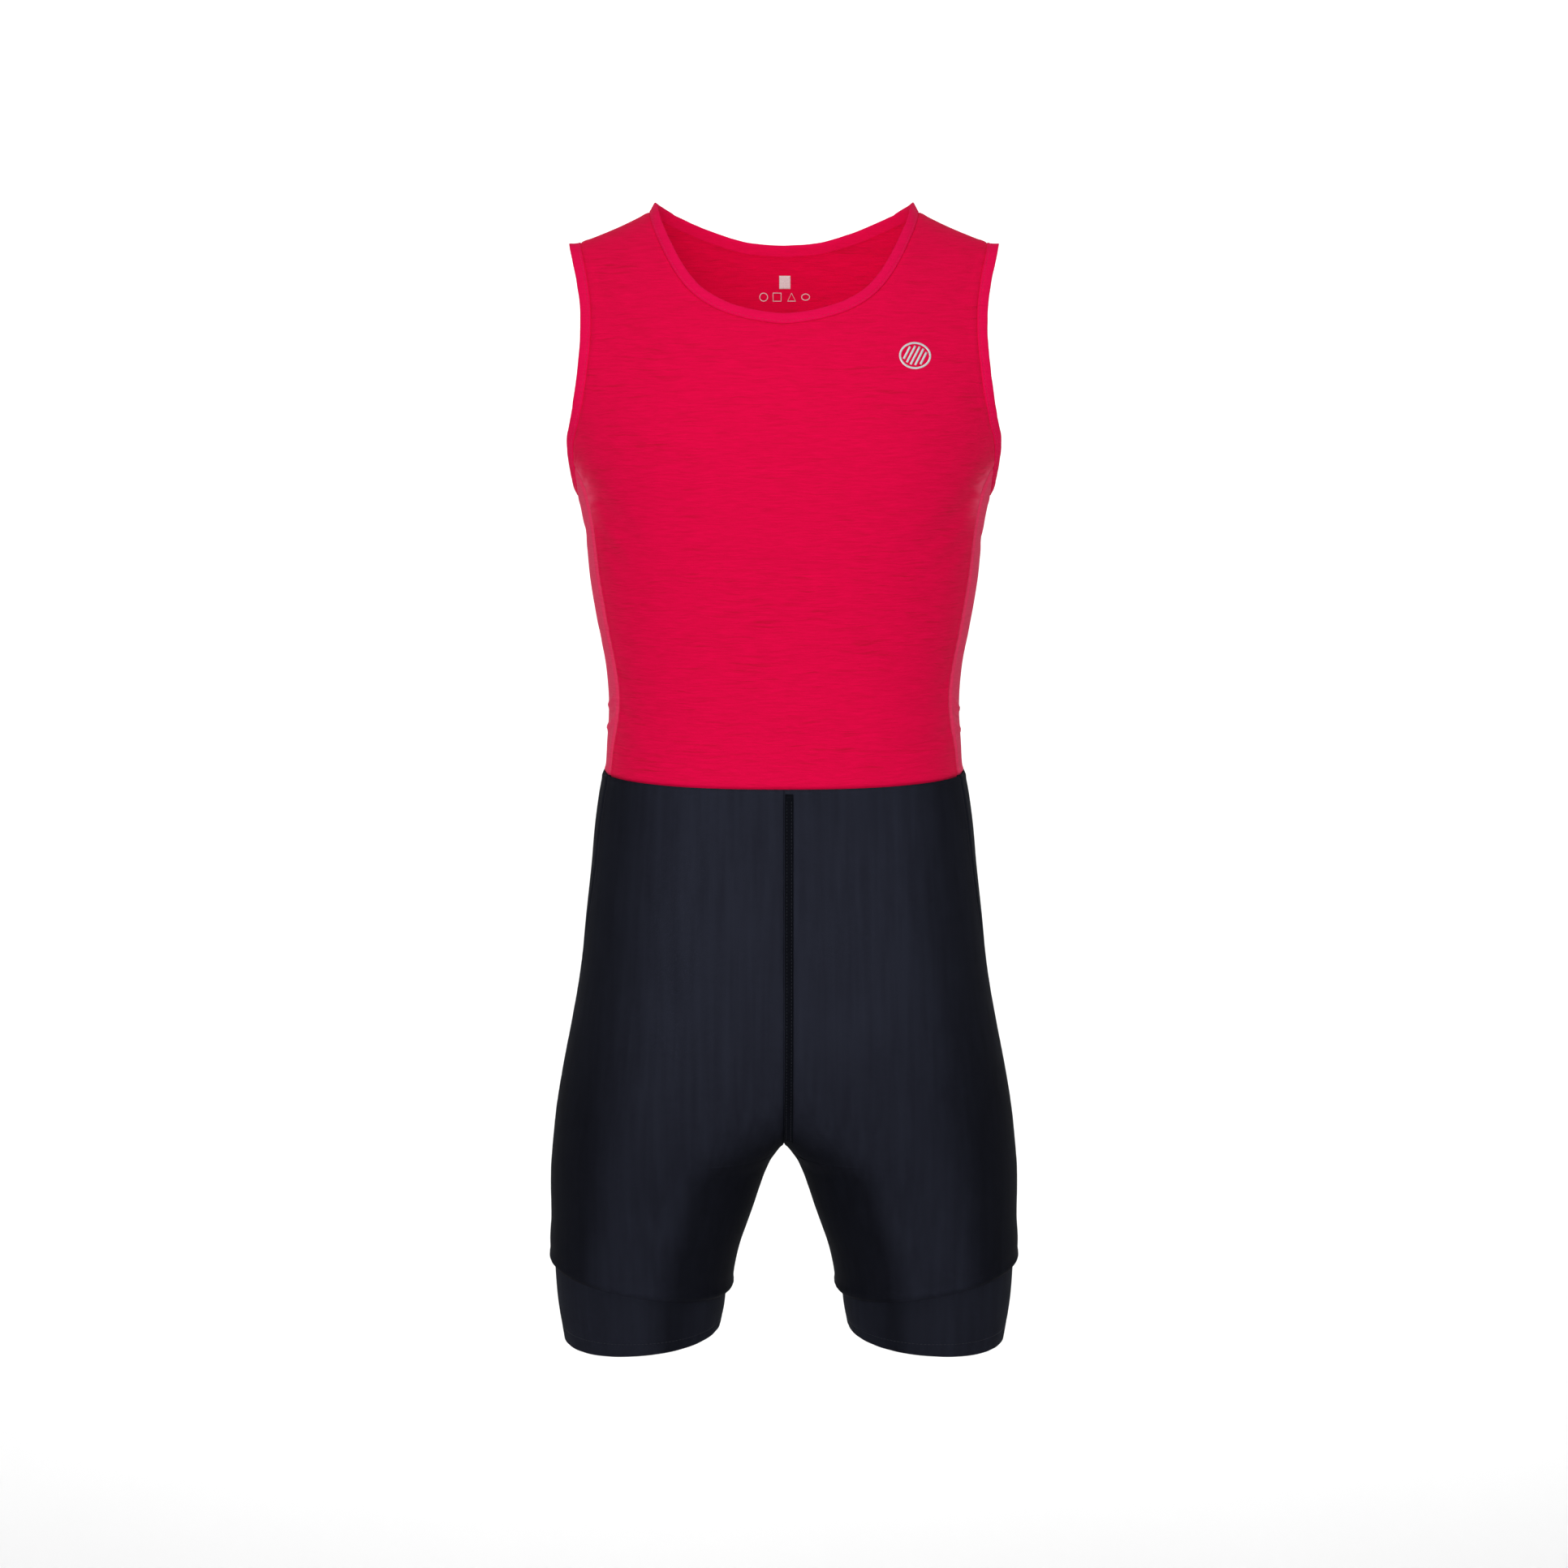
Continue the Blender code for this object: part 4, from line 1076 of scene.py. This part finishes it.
binding = {
    "width": 0.0082,
    "armholeFlare": 12.0,
    "neckFlare": 5.0,
    "spacing": 0.0020,
    # (reach beyond the sewn edge, lift off the panel), in mm
    "section": [(-0.3, -1.1), (-0.4, -0.5), (-0.2, 0.05), (0.15, 0.42), (0.6, 0.62), (1.0, 0.60),
                (1.3, 0.50), (1.6, 0.62), (2.1, 0.84), (2.9, 0.96), (4.0, 1.00), (5.3, 0.94),
                (6.4, 0.76), (7.1, 0.46), (7.6, 0.04), (7.8, -0.42), (7.6, -0.90), (7.1, -1.30),
                (6.4, -1.56), (5.3, -1.70), (4.0, -1.76), (2.6, -1.80), (1.2, -1.92), (0.0, -2.06),
                (-1.0, -2.12), (-1.4, -1.9), (-1.2, -1.5)],
    "stitch": {"spacing": 0.0029, "length": 0.0021, "radius": 0.00022},
    "stitchReach": 0.00130,
    "stitchLift": 0.00050,
    "ridgeFlare": 15.0,   # more where it stands up on the shoulder, fading over this length
    "ridgeLength": 0.016,
    "ridgeFrom": 0.09,
    "unevenness": 0.00022,
    "unevenStart": 0.4,   # its share at the sewn edge, more towards the fold
    "sway": 0.0004,
}


def evenLoop(points, normals, spacing):
    steps = np.linalg.norm(np.diff(np.concatenate([points, points[:1]]), axis=0), axis=1)
    travel = np.concatenate([[0.0], np.cumsum(steps)])
    at = np.linspace(0, travel[-1], int(travel[-1] / spacing) + 1)[:-1]

    def read(values):
        closed = np.concatenate([values, values[:1]])
        return np.stack([np.interp(at, travel, closed[:, axis]) for axis in range(3)], -1)

    return read(points), unit(read(normals))


def softened(values, times):
    for _ in range(times):
        values = (np.roll(values, 1, 0) + 2 * values + np.roll(values, -1, 0)) / 4
    return values


def bindingPieces(name, loop, flare, seed, hand=1):
    points, normals = evenLoop(*loop, binding["spacing"])
    points, normals = softened(points, 2), unit(softened(normals, 8))
    ahead = unit(softened(np.roll(points, -1, 0) - np.roll(points, 1, 0), 3))
    outward = unit(np.cross(normals, ahead))
    dice = np.random.default_rng(seed)
    uneven = softened(dice.uniform(-1, 1, (len(points), 1)), 2) * binding["unevenness"]
    sway = softened(dice.uniform(-1, 1, (len(points), 1)), 10) * binding["sway"]
    onRidge = np.abs(points[:, 0:1]) > binding["ridgeFrom"]
    belowRidge = shoulderRidge.read("height", np.abs(points[:, 0:1])) - points[:, 2:3]
    local = flare + binding["ridgeFlare"] * hump(belowRidge, binding["ridgeLength"]) * onRidge
    section = np.array(binding["section"]) / 1000
    rows = []
    for reach, lift in section:
        share = max(reach, 0.0) / binding["width"]
        spread = lift + binding["width"] * np.tan(np.radians(local)) * share**2
        spread = spread + uneven * (binding["unevenStart"] + share)
        rows.append(points + outward * (reach + sway * share) + normals * spread)
    turn = handed(hand)
    data = makeMesh(name, np.array(rows) * turn,
                    gridQuads(len(rows), len(points), ringRows=True, ringColumns=True), closed=True)
    piece = makePiece(name + "_cloth", data, bindingKnit, (name,))
    threadLift = binding["stitchLift"] + uneven * binding["unevenStart"]
    path = points + outward * binding["stitchReach"] + normals * threadLift
    path = np.concatenate([path, path[:1]]) * turn
    facing = np.concatenate([normals, normals[:1]]) * turn
    stitches = stitchRow(name + "_stitches", path, facing, binding["stitch"])
    thread = makePiece(name + "_stitches", stitches, redThread)
    return piece, thread


armTravels = np.linspace(0, 1, 500)
armLoop = (torsoPoint(*armhole.read(armTravels)), torsoNormals(*armhole.read(armTravels)))
quarter = [(frontNeck, np.linspace(0, 1, 200)), (backNeck, np.linspace(1, 0, 160)[1:])]
neckPoints = np.concatenate([torsoPoint(*edge.read(travel)) for edge, travel in quarter])
neckNormals = np.concatenate([torsoNormals(*edge.read(travel)) for edge, travel in quarter])
neckLoop = (np.concatenate([neckPoints, neckPoints[-2:0:-1] * handed(-1)]),
            np.concatenate([neckNormals, neckNormals[-2:0:-1] * handed(-1)]))
neckBinding, neckStitches = bindingPieces("neck_binding", neckLoop, binding["neckFlare"], 5)
armLeft, armLeftStitches = bindingPieces("armhole_binding_left", armLoop, binding["armholeFlare"], 6)
armRight, armRightStitches = bindingPieces("armhole_binding_right", armLoop, binding["armholeFlare"], 7, -1)
print("bindings folded over the edges")

# Shorts: four stretch panels, with a lip of cloth over each leg band

shorts = {
    "columns": 96,
    "edgeColumns": 8,     # crowded by both seams
    "edgeShare": 0.05,
    "upperRows": 120,
    "lowerRows": 58,
    "lipRows": 10,        # crowded by the lip over the band
    "lipShare": 0.05,
    "lipPower": 1.4,
    "seamRoom": 0.0002,
    "crotchRise": 0.0036,
    "crotchWidth": 0.0085,
    "crotchFade": 0.015,
}


sweeps = bothEnds(shorts["columns"], shorts["edgeColumns"], shorts["edgeShare"]) * (1 - shorts["seamRoom"])
upperShare = np.linspace(0, 1, shorts["upperRows"] + 1)
fall = mix(upperShare, np.sin(upperShare * math.pi / 2), 0.5)
upperTravels = body["crotchShare"] * 2 / math.pi * np.arcsin(np.clip(fall, 0, 1))
lowerShare = crowded(shorts["lowerRows"], shorts["lipRows"], shorts["lipShare"], shorts["lipPower"])
lowerTravels = mix(body["crotchShare"], 1.0, lowerShare[1:])
shortsTravels = np.concatenate([upperTravels, lowerTravels])


def raiseCrotch(points):
    # the two legs part in a point
    near = hump(points[..., 0], shorts["crotchWidth"])
    near = near * hump(points[..., 2] - body["crotch"], shorts["crotchFade"])
    return points + shorts["crotchRise"] * near[..., None] * upright


# Painted shade: the cloth is painted darker by these shares at the side, inside the thigh and down the leg.
# Each fades in over a span of the way the cloth faces, or of its height in metres.
paintedShortsShade = {"side": (0.75, 0.30, 0.50), "inside": (1.00, 0.10, 0.55), "downLeg": (0.35, 0.58, 0.14),
           "legRise": 0.08, "legSpan": 0.10}


def paintedShadeOf(kind, value):
    share, start, span = paintedShortsShade[kind]
    return share * smoothStep((value - start) / span)


def shortsPanel(name, facing, hand, seed):
    sweep, travel = np.meshgrid(sweeps, shortsTravels)
    base = raiseCrotch(raiseWaist(shortsPoint(sweep, travel, facing)))
    normals = gridNormals(base) * -facing
    onCentre = base[:, 0, 0] < 1e-5
    base[onCentre, 0, 0] = 0.0
    normals[onCentre, 0, 0] = 0.0
    normals = unit(normals)
    turn = handed(hand)
    lift = creaseLift(base * turn)
    inner, outer = fromStart(base, 1), toEnd(base, 1)
    top, bottom = fromStart(base, 0), toEnd(base, 0)
    for away, kind in ((inner, "innerLeg"), (outer, "outerLeg"), (top, "waist"), (bottom, "legLip")):
        lift += seamLift(away, kind)
    lift += ripples(seed, outer, top, *puckers["outerLeg"])
    lift += ripples(seed + 1, bottom, inner, *puckers["legLip"])
    points = (base + normals * lift[..., None]) * turn
    # painted shade, darker where the cloth faces sideways, inside the thighs below the crotch and lower down
    # the leg
    height, sideways = base[..., 2], normals[..., 0]
    onLeg = smoothStep((body["crotch"] + paintedShortsShade["legRise"] - height) / paintedShortsShade["legSpan"])
    tight = 1 - paintedShadeOf("side", sideways) - paintedShadeOf("inside", -sideways) * onLeg
    tight -= paintedShadeOf("downLeg", -height)
    quads = gridQuads(*base.shape[:2], turned=hand * facing > 0)
    data = makeMesh(name, points, quads, paintedShading=np.clip(tight, 0, 1))
    return makePiece(name + "_cloth", data, navyCloth, (name,), body["shortsWall"])


for stem, facing in (("shorts_front", 1), ("shorts_back", -1)):
    for side, hand in (("left", 1), ("right", -1)):
        name = stem + "_" + side
        shortsPanel(name, facing, hand, 100 + 7 * facing + 3 * hand)
print("shorts laid")

tape = {
    "near": 0.0008,
    "width": 0.0062,
    "wall": 0.0010,
    "topRoom": 0.0034,     # moved down by this at the waist seam, and less over its first stretch
    "topLength": 0.02,
    "endShare": 0.482,
    "rows": 120,
    # shares of the width, and the lift off the shorts in mm
    "across": [0.0, 0.03, 0.10, 0.22, 0.36, 0.5, 0.64, 0.78, 0.90, 0.97, 1.0],
    "lift": [0.70, 1.05, 1.25, 1.12, 1.28, 1.30, 1.28, 1.12, 1.25, 1.05, 0.70],
    "stitchColumns": {"near": 3, "far": 7},
    "stitch": {"spacing": 0.0026, "length": 0.0018, "radius": 0.00018},
}


def tapePiece():
    travel = np.linspace(0, tape["endShare"], tape["rows"])
    height = shortsRow(travel)[0]
    across = tape["near"] + tape["width"] * np.array(tape["across"])
    base = shortsAcross(*np.meshgrid(across, height), 1)
    normals = -gridNormals(base)
    drop = tape["topRoom"] * np.clip(1 - fromStart(base, 0) / tape["topLength"], 0, 1)
    base = base - drop[..., None] * upright
    lift = creaseLift(base) + np.array(tape["lift"]) / 1000
    points = base + normals * lift[..., None]
    data = makeMesh("centre_front_tape", points, gridQuads(*points.shape[:2], turned=True))
    piece = makePiece("centre_front_tape_cloth", data, darkTape, ("centre_front_tape",),
                      tape["wall"])
    threads = []
    for label, column in tape["stitchColumns"].items():
        path = points[2:-2, column]
        row = stitchRow("tape_stitches_" + label, path, normals[2:-2, column], tape["stitch"])
        threads.append(makePiece("tape_stitches_" + label, row, navyThread))
    return piece, threads


frontTape, tapeThreads = tapePiece()

band = {
    "columns": 230,
    "rows": 30,
    "wall": 0.0020,
    "height": 0.045,
    "radius": 0.066,
    "tuck": 0.0040,        # reaches up inside the shorts' lip
    "hemShare": 0.978,     # of the height, before the hem folds under
    "foldSteps": 6,
    "seam": (0.0005, 0.0016),       # depth and width of the dents at the inside seam and the hem stitch
    "hemDent": (0.0003, 0.0009),
    "hemStitch": 0.80,
    # painted shade on the band, in an upright strip where it faces the other leg
    "paintedShade": (0.85, -0.45, 0.25),   # an upright strip on the inner front: share, the way it faces, spread
    "stitch": {"spacing": 0.0030, "length": 0.0022, "radius": 0.00020},
}


def bandPoint(angle, travel):
    inner, outer = legBand.read("inner", travel), legBand.read("outer", travel)
    centre, half = (inner + outer) / 2, (outer - inner) / 2
    across = half * powerCosine(angle, body["legSquareness"])
    inward = powerCosine(angle - math.pi / 2, body["legSquareness"])
    front, back = legBand.read("front", travel), legBand.read("back", travel)
    depth = np.where(np.sin(angle) > 0, front + body["middle"], back - body["middle"])
    top = body["bandTop"] + band["tuck"] + body["bandTopTilt"] * across
    low = body["hem"] + body["hemTilt"] * across - body["hemFrontDrop"] * inward
    return np.stack([centre + across, body["middle"] - depth * inward, mix(top, low, travel)], -1)


def legBandPieces(name, hand, seed):
    travel = np.linspace(0, band["hemShare"], band["rows"])
    angle = np.linspace(0, 2 * math.pi, band["columns"], endpoint=False)
    angleGrid, travelGrid = np.meshgrid(angle, travel)
    base = bandPoint(angleGrid, travelGrid)
    normals = gridNormals(base, ring=True)
    normals = normals * np.sign(normals[5, 0, 0])
    seamDepth, seamWidth = band["seam"]
    dentDepth, dentWidth = band["hemDent"]
    lift = -seamDepth * hump((angleGrid - math.pi) * band["radius"], seamWidth)
    lift -= dentDepth * hump((travelGrid - band["hemStitch"]) * band["height"], dentWidth)
    lift += ripples(seed, (1 - travelGrid) * band["height"], fromStart(base, 1), *puckers["band"])
    outer = base + normals * lift[..., None]
    down = unit(outer[-1] - outer[-3])
    fold = []
    for step in range(1, band["foldSteps"]):
        turn = math.pi * step / band["foldSteps"]
        reach = normals[-1] * (math.cos(turn) - 1) + down * math.sin(turn)
        fold.append(outer[-1] + reach * band["wall"] / 2)
    inside = (outer - normals * band["wall"])[::-1][::2]
    rows = np.concatenate([outer, np.array(fold), inside])
    mirror = handed(hand)
    # painted shade, darker where the band faces in towards the other leg
    shadeShare, shadeFacing, shadeSpread = band["paintedShade"]
    paintedShade = shadeShare * hump(normals[0, :, 0] - shadeFacing, shadeSpread)
    tight = np.broadcast_to(1 - paintedShade, rows.shape[:2])
    data = makeMesh(name, rows * mirror, gridQuads(*rows.shape[:2], ringRows=True, ringColumns=True),
                    closed=True, paintedShading=tight)
    piece = makePiece(name + "_cloth", data, navyBand, (name,))
    level = int(round(band["hemStitch"] / band["hemShare"] * (band["rows"] - 1)))
    path = np.concatenate([outer[level], outer[level][:1]]) * mirror
    facing = np.concatenate([normals[level], normals[level][:1]]) * mirror
    threads = makePiece(name + "_stitches", stitchRow(name + "_stitches", path, facing, band["stitch"]),
                        navyThread)
    return piece, threads


bandLeft, bandLeftStitches = legBandPieces("leg_band_left", 1, 201)
bandRight, bandRightStitches = legBandPieces("leg_band_right", -1, 217)
print("tape and leg bands sewn")

# Prints: thin generic marks on the chest and inside the neck

prints = {
    "thickness": 0.00012,
    "chestLift": 0.00018,
    "insideLift": 0.0002,
    "chest": (0.0967, -0.1116),
    "chestSize": (0.0120, 0.0100),
    "ring": 0.0015,
    "bars": [-0.0064, -0.0032, 0.0, 0.0032, 0.0064],
    "barWidth": 0.0016,
    "barReach": 0.014,
    "barRoom": 1.9,        # ring widths between the bars' ends and the ring's edge
    "slant": 62.0,
    "square": (-0.0038, 0.0051, -0.0579, -0.0478),
    "careHeight": -0.0642,
    "carePlaces": [-0.0160, -0.0055, 0.0060, 0.0170],
    "careSize": 0.0034,
    "careLine": 0.0006,
}


def onPanel(across, height, facing, lift):
    # points on the worn surface of the top, straight out from the cloth
    angle = torsoAngle(across, height, facing)
    base = torsoPoint(angle, height)
    normals = torsoNormals(angle, height)
    turn = np.stack([np.where(across < 0, -1.0, 1.0), np.ones_like(across), np.ones_like(across)], -1)
    base, normals = base * turn, normals * turn
    return base + normals * (creaseLift(base) + lift)[..., None]


def patchMesh(name, strips, facing, lift):
    vertices, faces, start = [], [], 0
    for strip in strips:
        spots = onPanel(strip[..., 0], strip[..., 1], facing, lift)
        vertices.append(spots.reshape(-1, 3))
        faces.append(gridQuads(*strip.shape[:2]) + start)
        start += spots.shape[0] * spots.shape[1]
    data = makeMesh(name, np.concatenate(vertices), np.concatenate(faces))
    if data.polygons[0].normal.y > 0:
        data.flip_normals()
    return data


def outline(centre, corners, width):
    # a closed strip round a small shape
    corners = np.array(corners + corners[:1])
    scale = 1 - width / np.linalg.norm(corners, axis=1).mean()
    return np.stack([centre + corners, centre + corners * scale])


def ovalStrip(centre, size, width, count=56):
    turn = np.linspace(0, 2 * math.pi, count)
    ring = np.stack([np.cos(turn), np.sin(turn)], -1)
    return np.stack([centre + ring * size, centre + ring * (np.array(size) - width)])


def chestStrips():
    centre, size = np.array(prints["chest"]), np.array(prints["chestSize"])
    strips = [ovalStrip(centre, size, prints["ring"])]
    slant = math.radians(prints["slant"])
    ahead = np.array((math.cos(slant), math.sin(slant)))
    aside = np.array((math.sin(slant), -math.cos(slant)))
    room = size - prints["ring"] * prints["barRoom"]
    half = aside * prints["barWidth"] / 2
    for place in prints["bars"]:
        travel = np.linspace(-prints["barReach"], prints["barReach"], 400)
        spots = travel[:, None] * ahead + place * aside
        inside = travel[((spots / room) ** 2).sum(1) < 1]
        run = centre + np.linspace(inside[0], inside[-1], 9)[:, None] * ahead + place * aside
        strips.append(np.stack([run - half, run + half]))
    return strips


def careStrips():
    # a circle, a square, a triangle and an oval in a row
    size, line = prints["careSize"], prints["careLine"]
    square = [(-size, -size), (0, -size), (size, -size), (size, 0),
              (size, size), (0, size), (-size, size), (-size, 0)]
    triangle = [(-size, -size), (0, -size), (size, -size), (size / 2, 0), (0, size), (-size / 2, 0)]
    places = [np.array((across, prints["careHeight"])) for across in prints["carePlaces"]]
    return [ovalStrip(places[0], (size, size), line, 30), outline(places[1], square, line),
            outline(places[2], triangle, line), ovalStrip(places[3], (size, size * 0.8), line, 30)]


def printPiece(name, strips, facing, lift, ink):
    return makePiece(name, patchMesh(name, strips, facing, lift), ink, wall=prints["thickness"])


left, right, low, high = prints["square"]
squareGrid = np.stack(np.meshgrid(np.linspace(left, right, 9), np.linspace(low, high, 9)), -1)
insideLift = -(body["topWall"] + prints["insideLift"])
chestMark = printPiece("chest_print", chestStrips(), 1, prints["chestLift"], silverPrint)
neckSquare = printPiece("neck_square_print", [squareGrid], -1, insideLift, whitePrint)
careMarks = printPiece("care_print", careStrips(), -1, insideLift, whitePrint)
print("prints laid on")

# Studio: a round pale floor that turns up at its rim, soft lights and the camera

studio = {
    "floorHeight": -2.0,
    "floorRadius": 6.0,
    "floorSides": 64,
    "rimHeight": 5.0,
    # share of the radius, share of the rim's height
    "floorProfile": [(0.35, 0.0), (0.6, 0.002), (0.75, 0.02), (0.86, 0.09),
                     (0.94, 0.24), (0.985, 0.5), (1.0, 1.0)],
    "world": 0.30,
    "cameraDistance": 2.8,
    "cameraTilt": math.radians(6.3),   # looks down by this
    "aimHeight": -0.4387,
    "focalPixels": 4480,
    "photoPixels": 1932,
    "sensor": 36,
    # name: place, aimed at, size, watts
    "lights": {
        "key": ((-0.25, -2.8, 0.1), (0, 0, -0.45), (1.0, 1.5), 35.5),
        "fillLeft": ((-1.7, -2.1, -0.1), (0, 0, -0.45), (1.0, 1.8), 4),
        "fillRight": ((1.7, -2.1, -0.1), (0, 0, -0.45), (1.0, 1.8), 4),
        "overhead": ((0.0, -1.0, 1.8), (0, 0, -0.2), (1.4, 1.4), 12),
        "rimLeft": ((2.0, 1.2, 0.0), (0, 0, -0.45), (0.8, 2.0), 2),
        "rimRight": ((-2.0, 1.2, 0.0), (0, 0, -0.45), (0.8, 2.0), 2),
        "inside": ((0.0, -0.03, -0.36), (0, 0.05, -0.05), (0.15, 0.10), 0.22),
        "backdrop": ((0.0, 3.6, 2.0), (0, 5.2, -1.2), (5.0, 1.5), 140),
    },
}


def studioFloor():
    sides = studio["floorSides"]
    turn = np.linspace(0, 2 * math.pi, sides, endpoint=False)
    ring = np.stack([np.cos(turn), np.sin(turn), np.zeros(sides)], -1) * studio["floorRadius"]
    rows = [ring * radius + upright * (studio["floorHeight"] + rise * studio["rimHeight"])
            for radius, rise in studio["floorProfile"]]
    faces = gridQuads(len(rows), sides, ringColumns=True).tolist() + [list(range(sides))]
    data = makeMesh("floor", np.array(rows), faces, closed=True)
    floor = bpy.data.objects.new("floor", data)
    bpy.context.scene.collection.objects.link(floor)
    data.materials.append(paleFloor)


def addLight(name, place, target, size, watts):
    lamp = bpy.data.lights.new(name, "AREA")
    lamp.shape = "RECTANGLE"
    lamp.size, lamp.size_y = size
    lamp.energy = watts
    light = bpy.data.objects.new(name, lamp)
    light.location = place
    aim = mathutils.Vector(target) - mathutils.Vector(place)
    light.rotation_euler = aim.to_track_quat("-Z", "Y").to_euler()
    bpy.context.scene.collection.objects.link(light)


studioFloor()
for lightName, setting in studio["lights"].items():
    addLight(lightName, *setting)
world = bpy.data.worlds.new("studio")
world.use_nodes = True
world.node_tree.nodes["Background"].inputs["Color"].default_value = (1, 1, 1, 1)
world.node_tree.nodes["Background"].inputs["Strength"].default_value = studio["world"]
bpy.context.scene.world = world
bpy.context.scene.view_settings.view_transform = "Standard"

cameraData = bpy.data.cameras.new("camera")
cameraData.sensor_width = studio["sensor"]
cameraData.lens = studio["focalPixels"] / studio["photoPixels"] * studio["sensor"]
camera = bpy.data.objects.new("camera", cameraData)
distance, tilt = studio["cameraDistance"], studio["cameraTilt"]
camera.location = (0.0, -distance * math.cos(tilt), studio["aimHeight"] + distance * math.sin(tilt))
camera.rotation_euler = (math.pi / 2 - tilt, 0, 0)
bpy.context.scene.collection.objects.link(camera)
bpy.context.scene.camera = camera

print("scene ready")
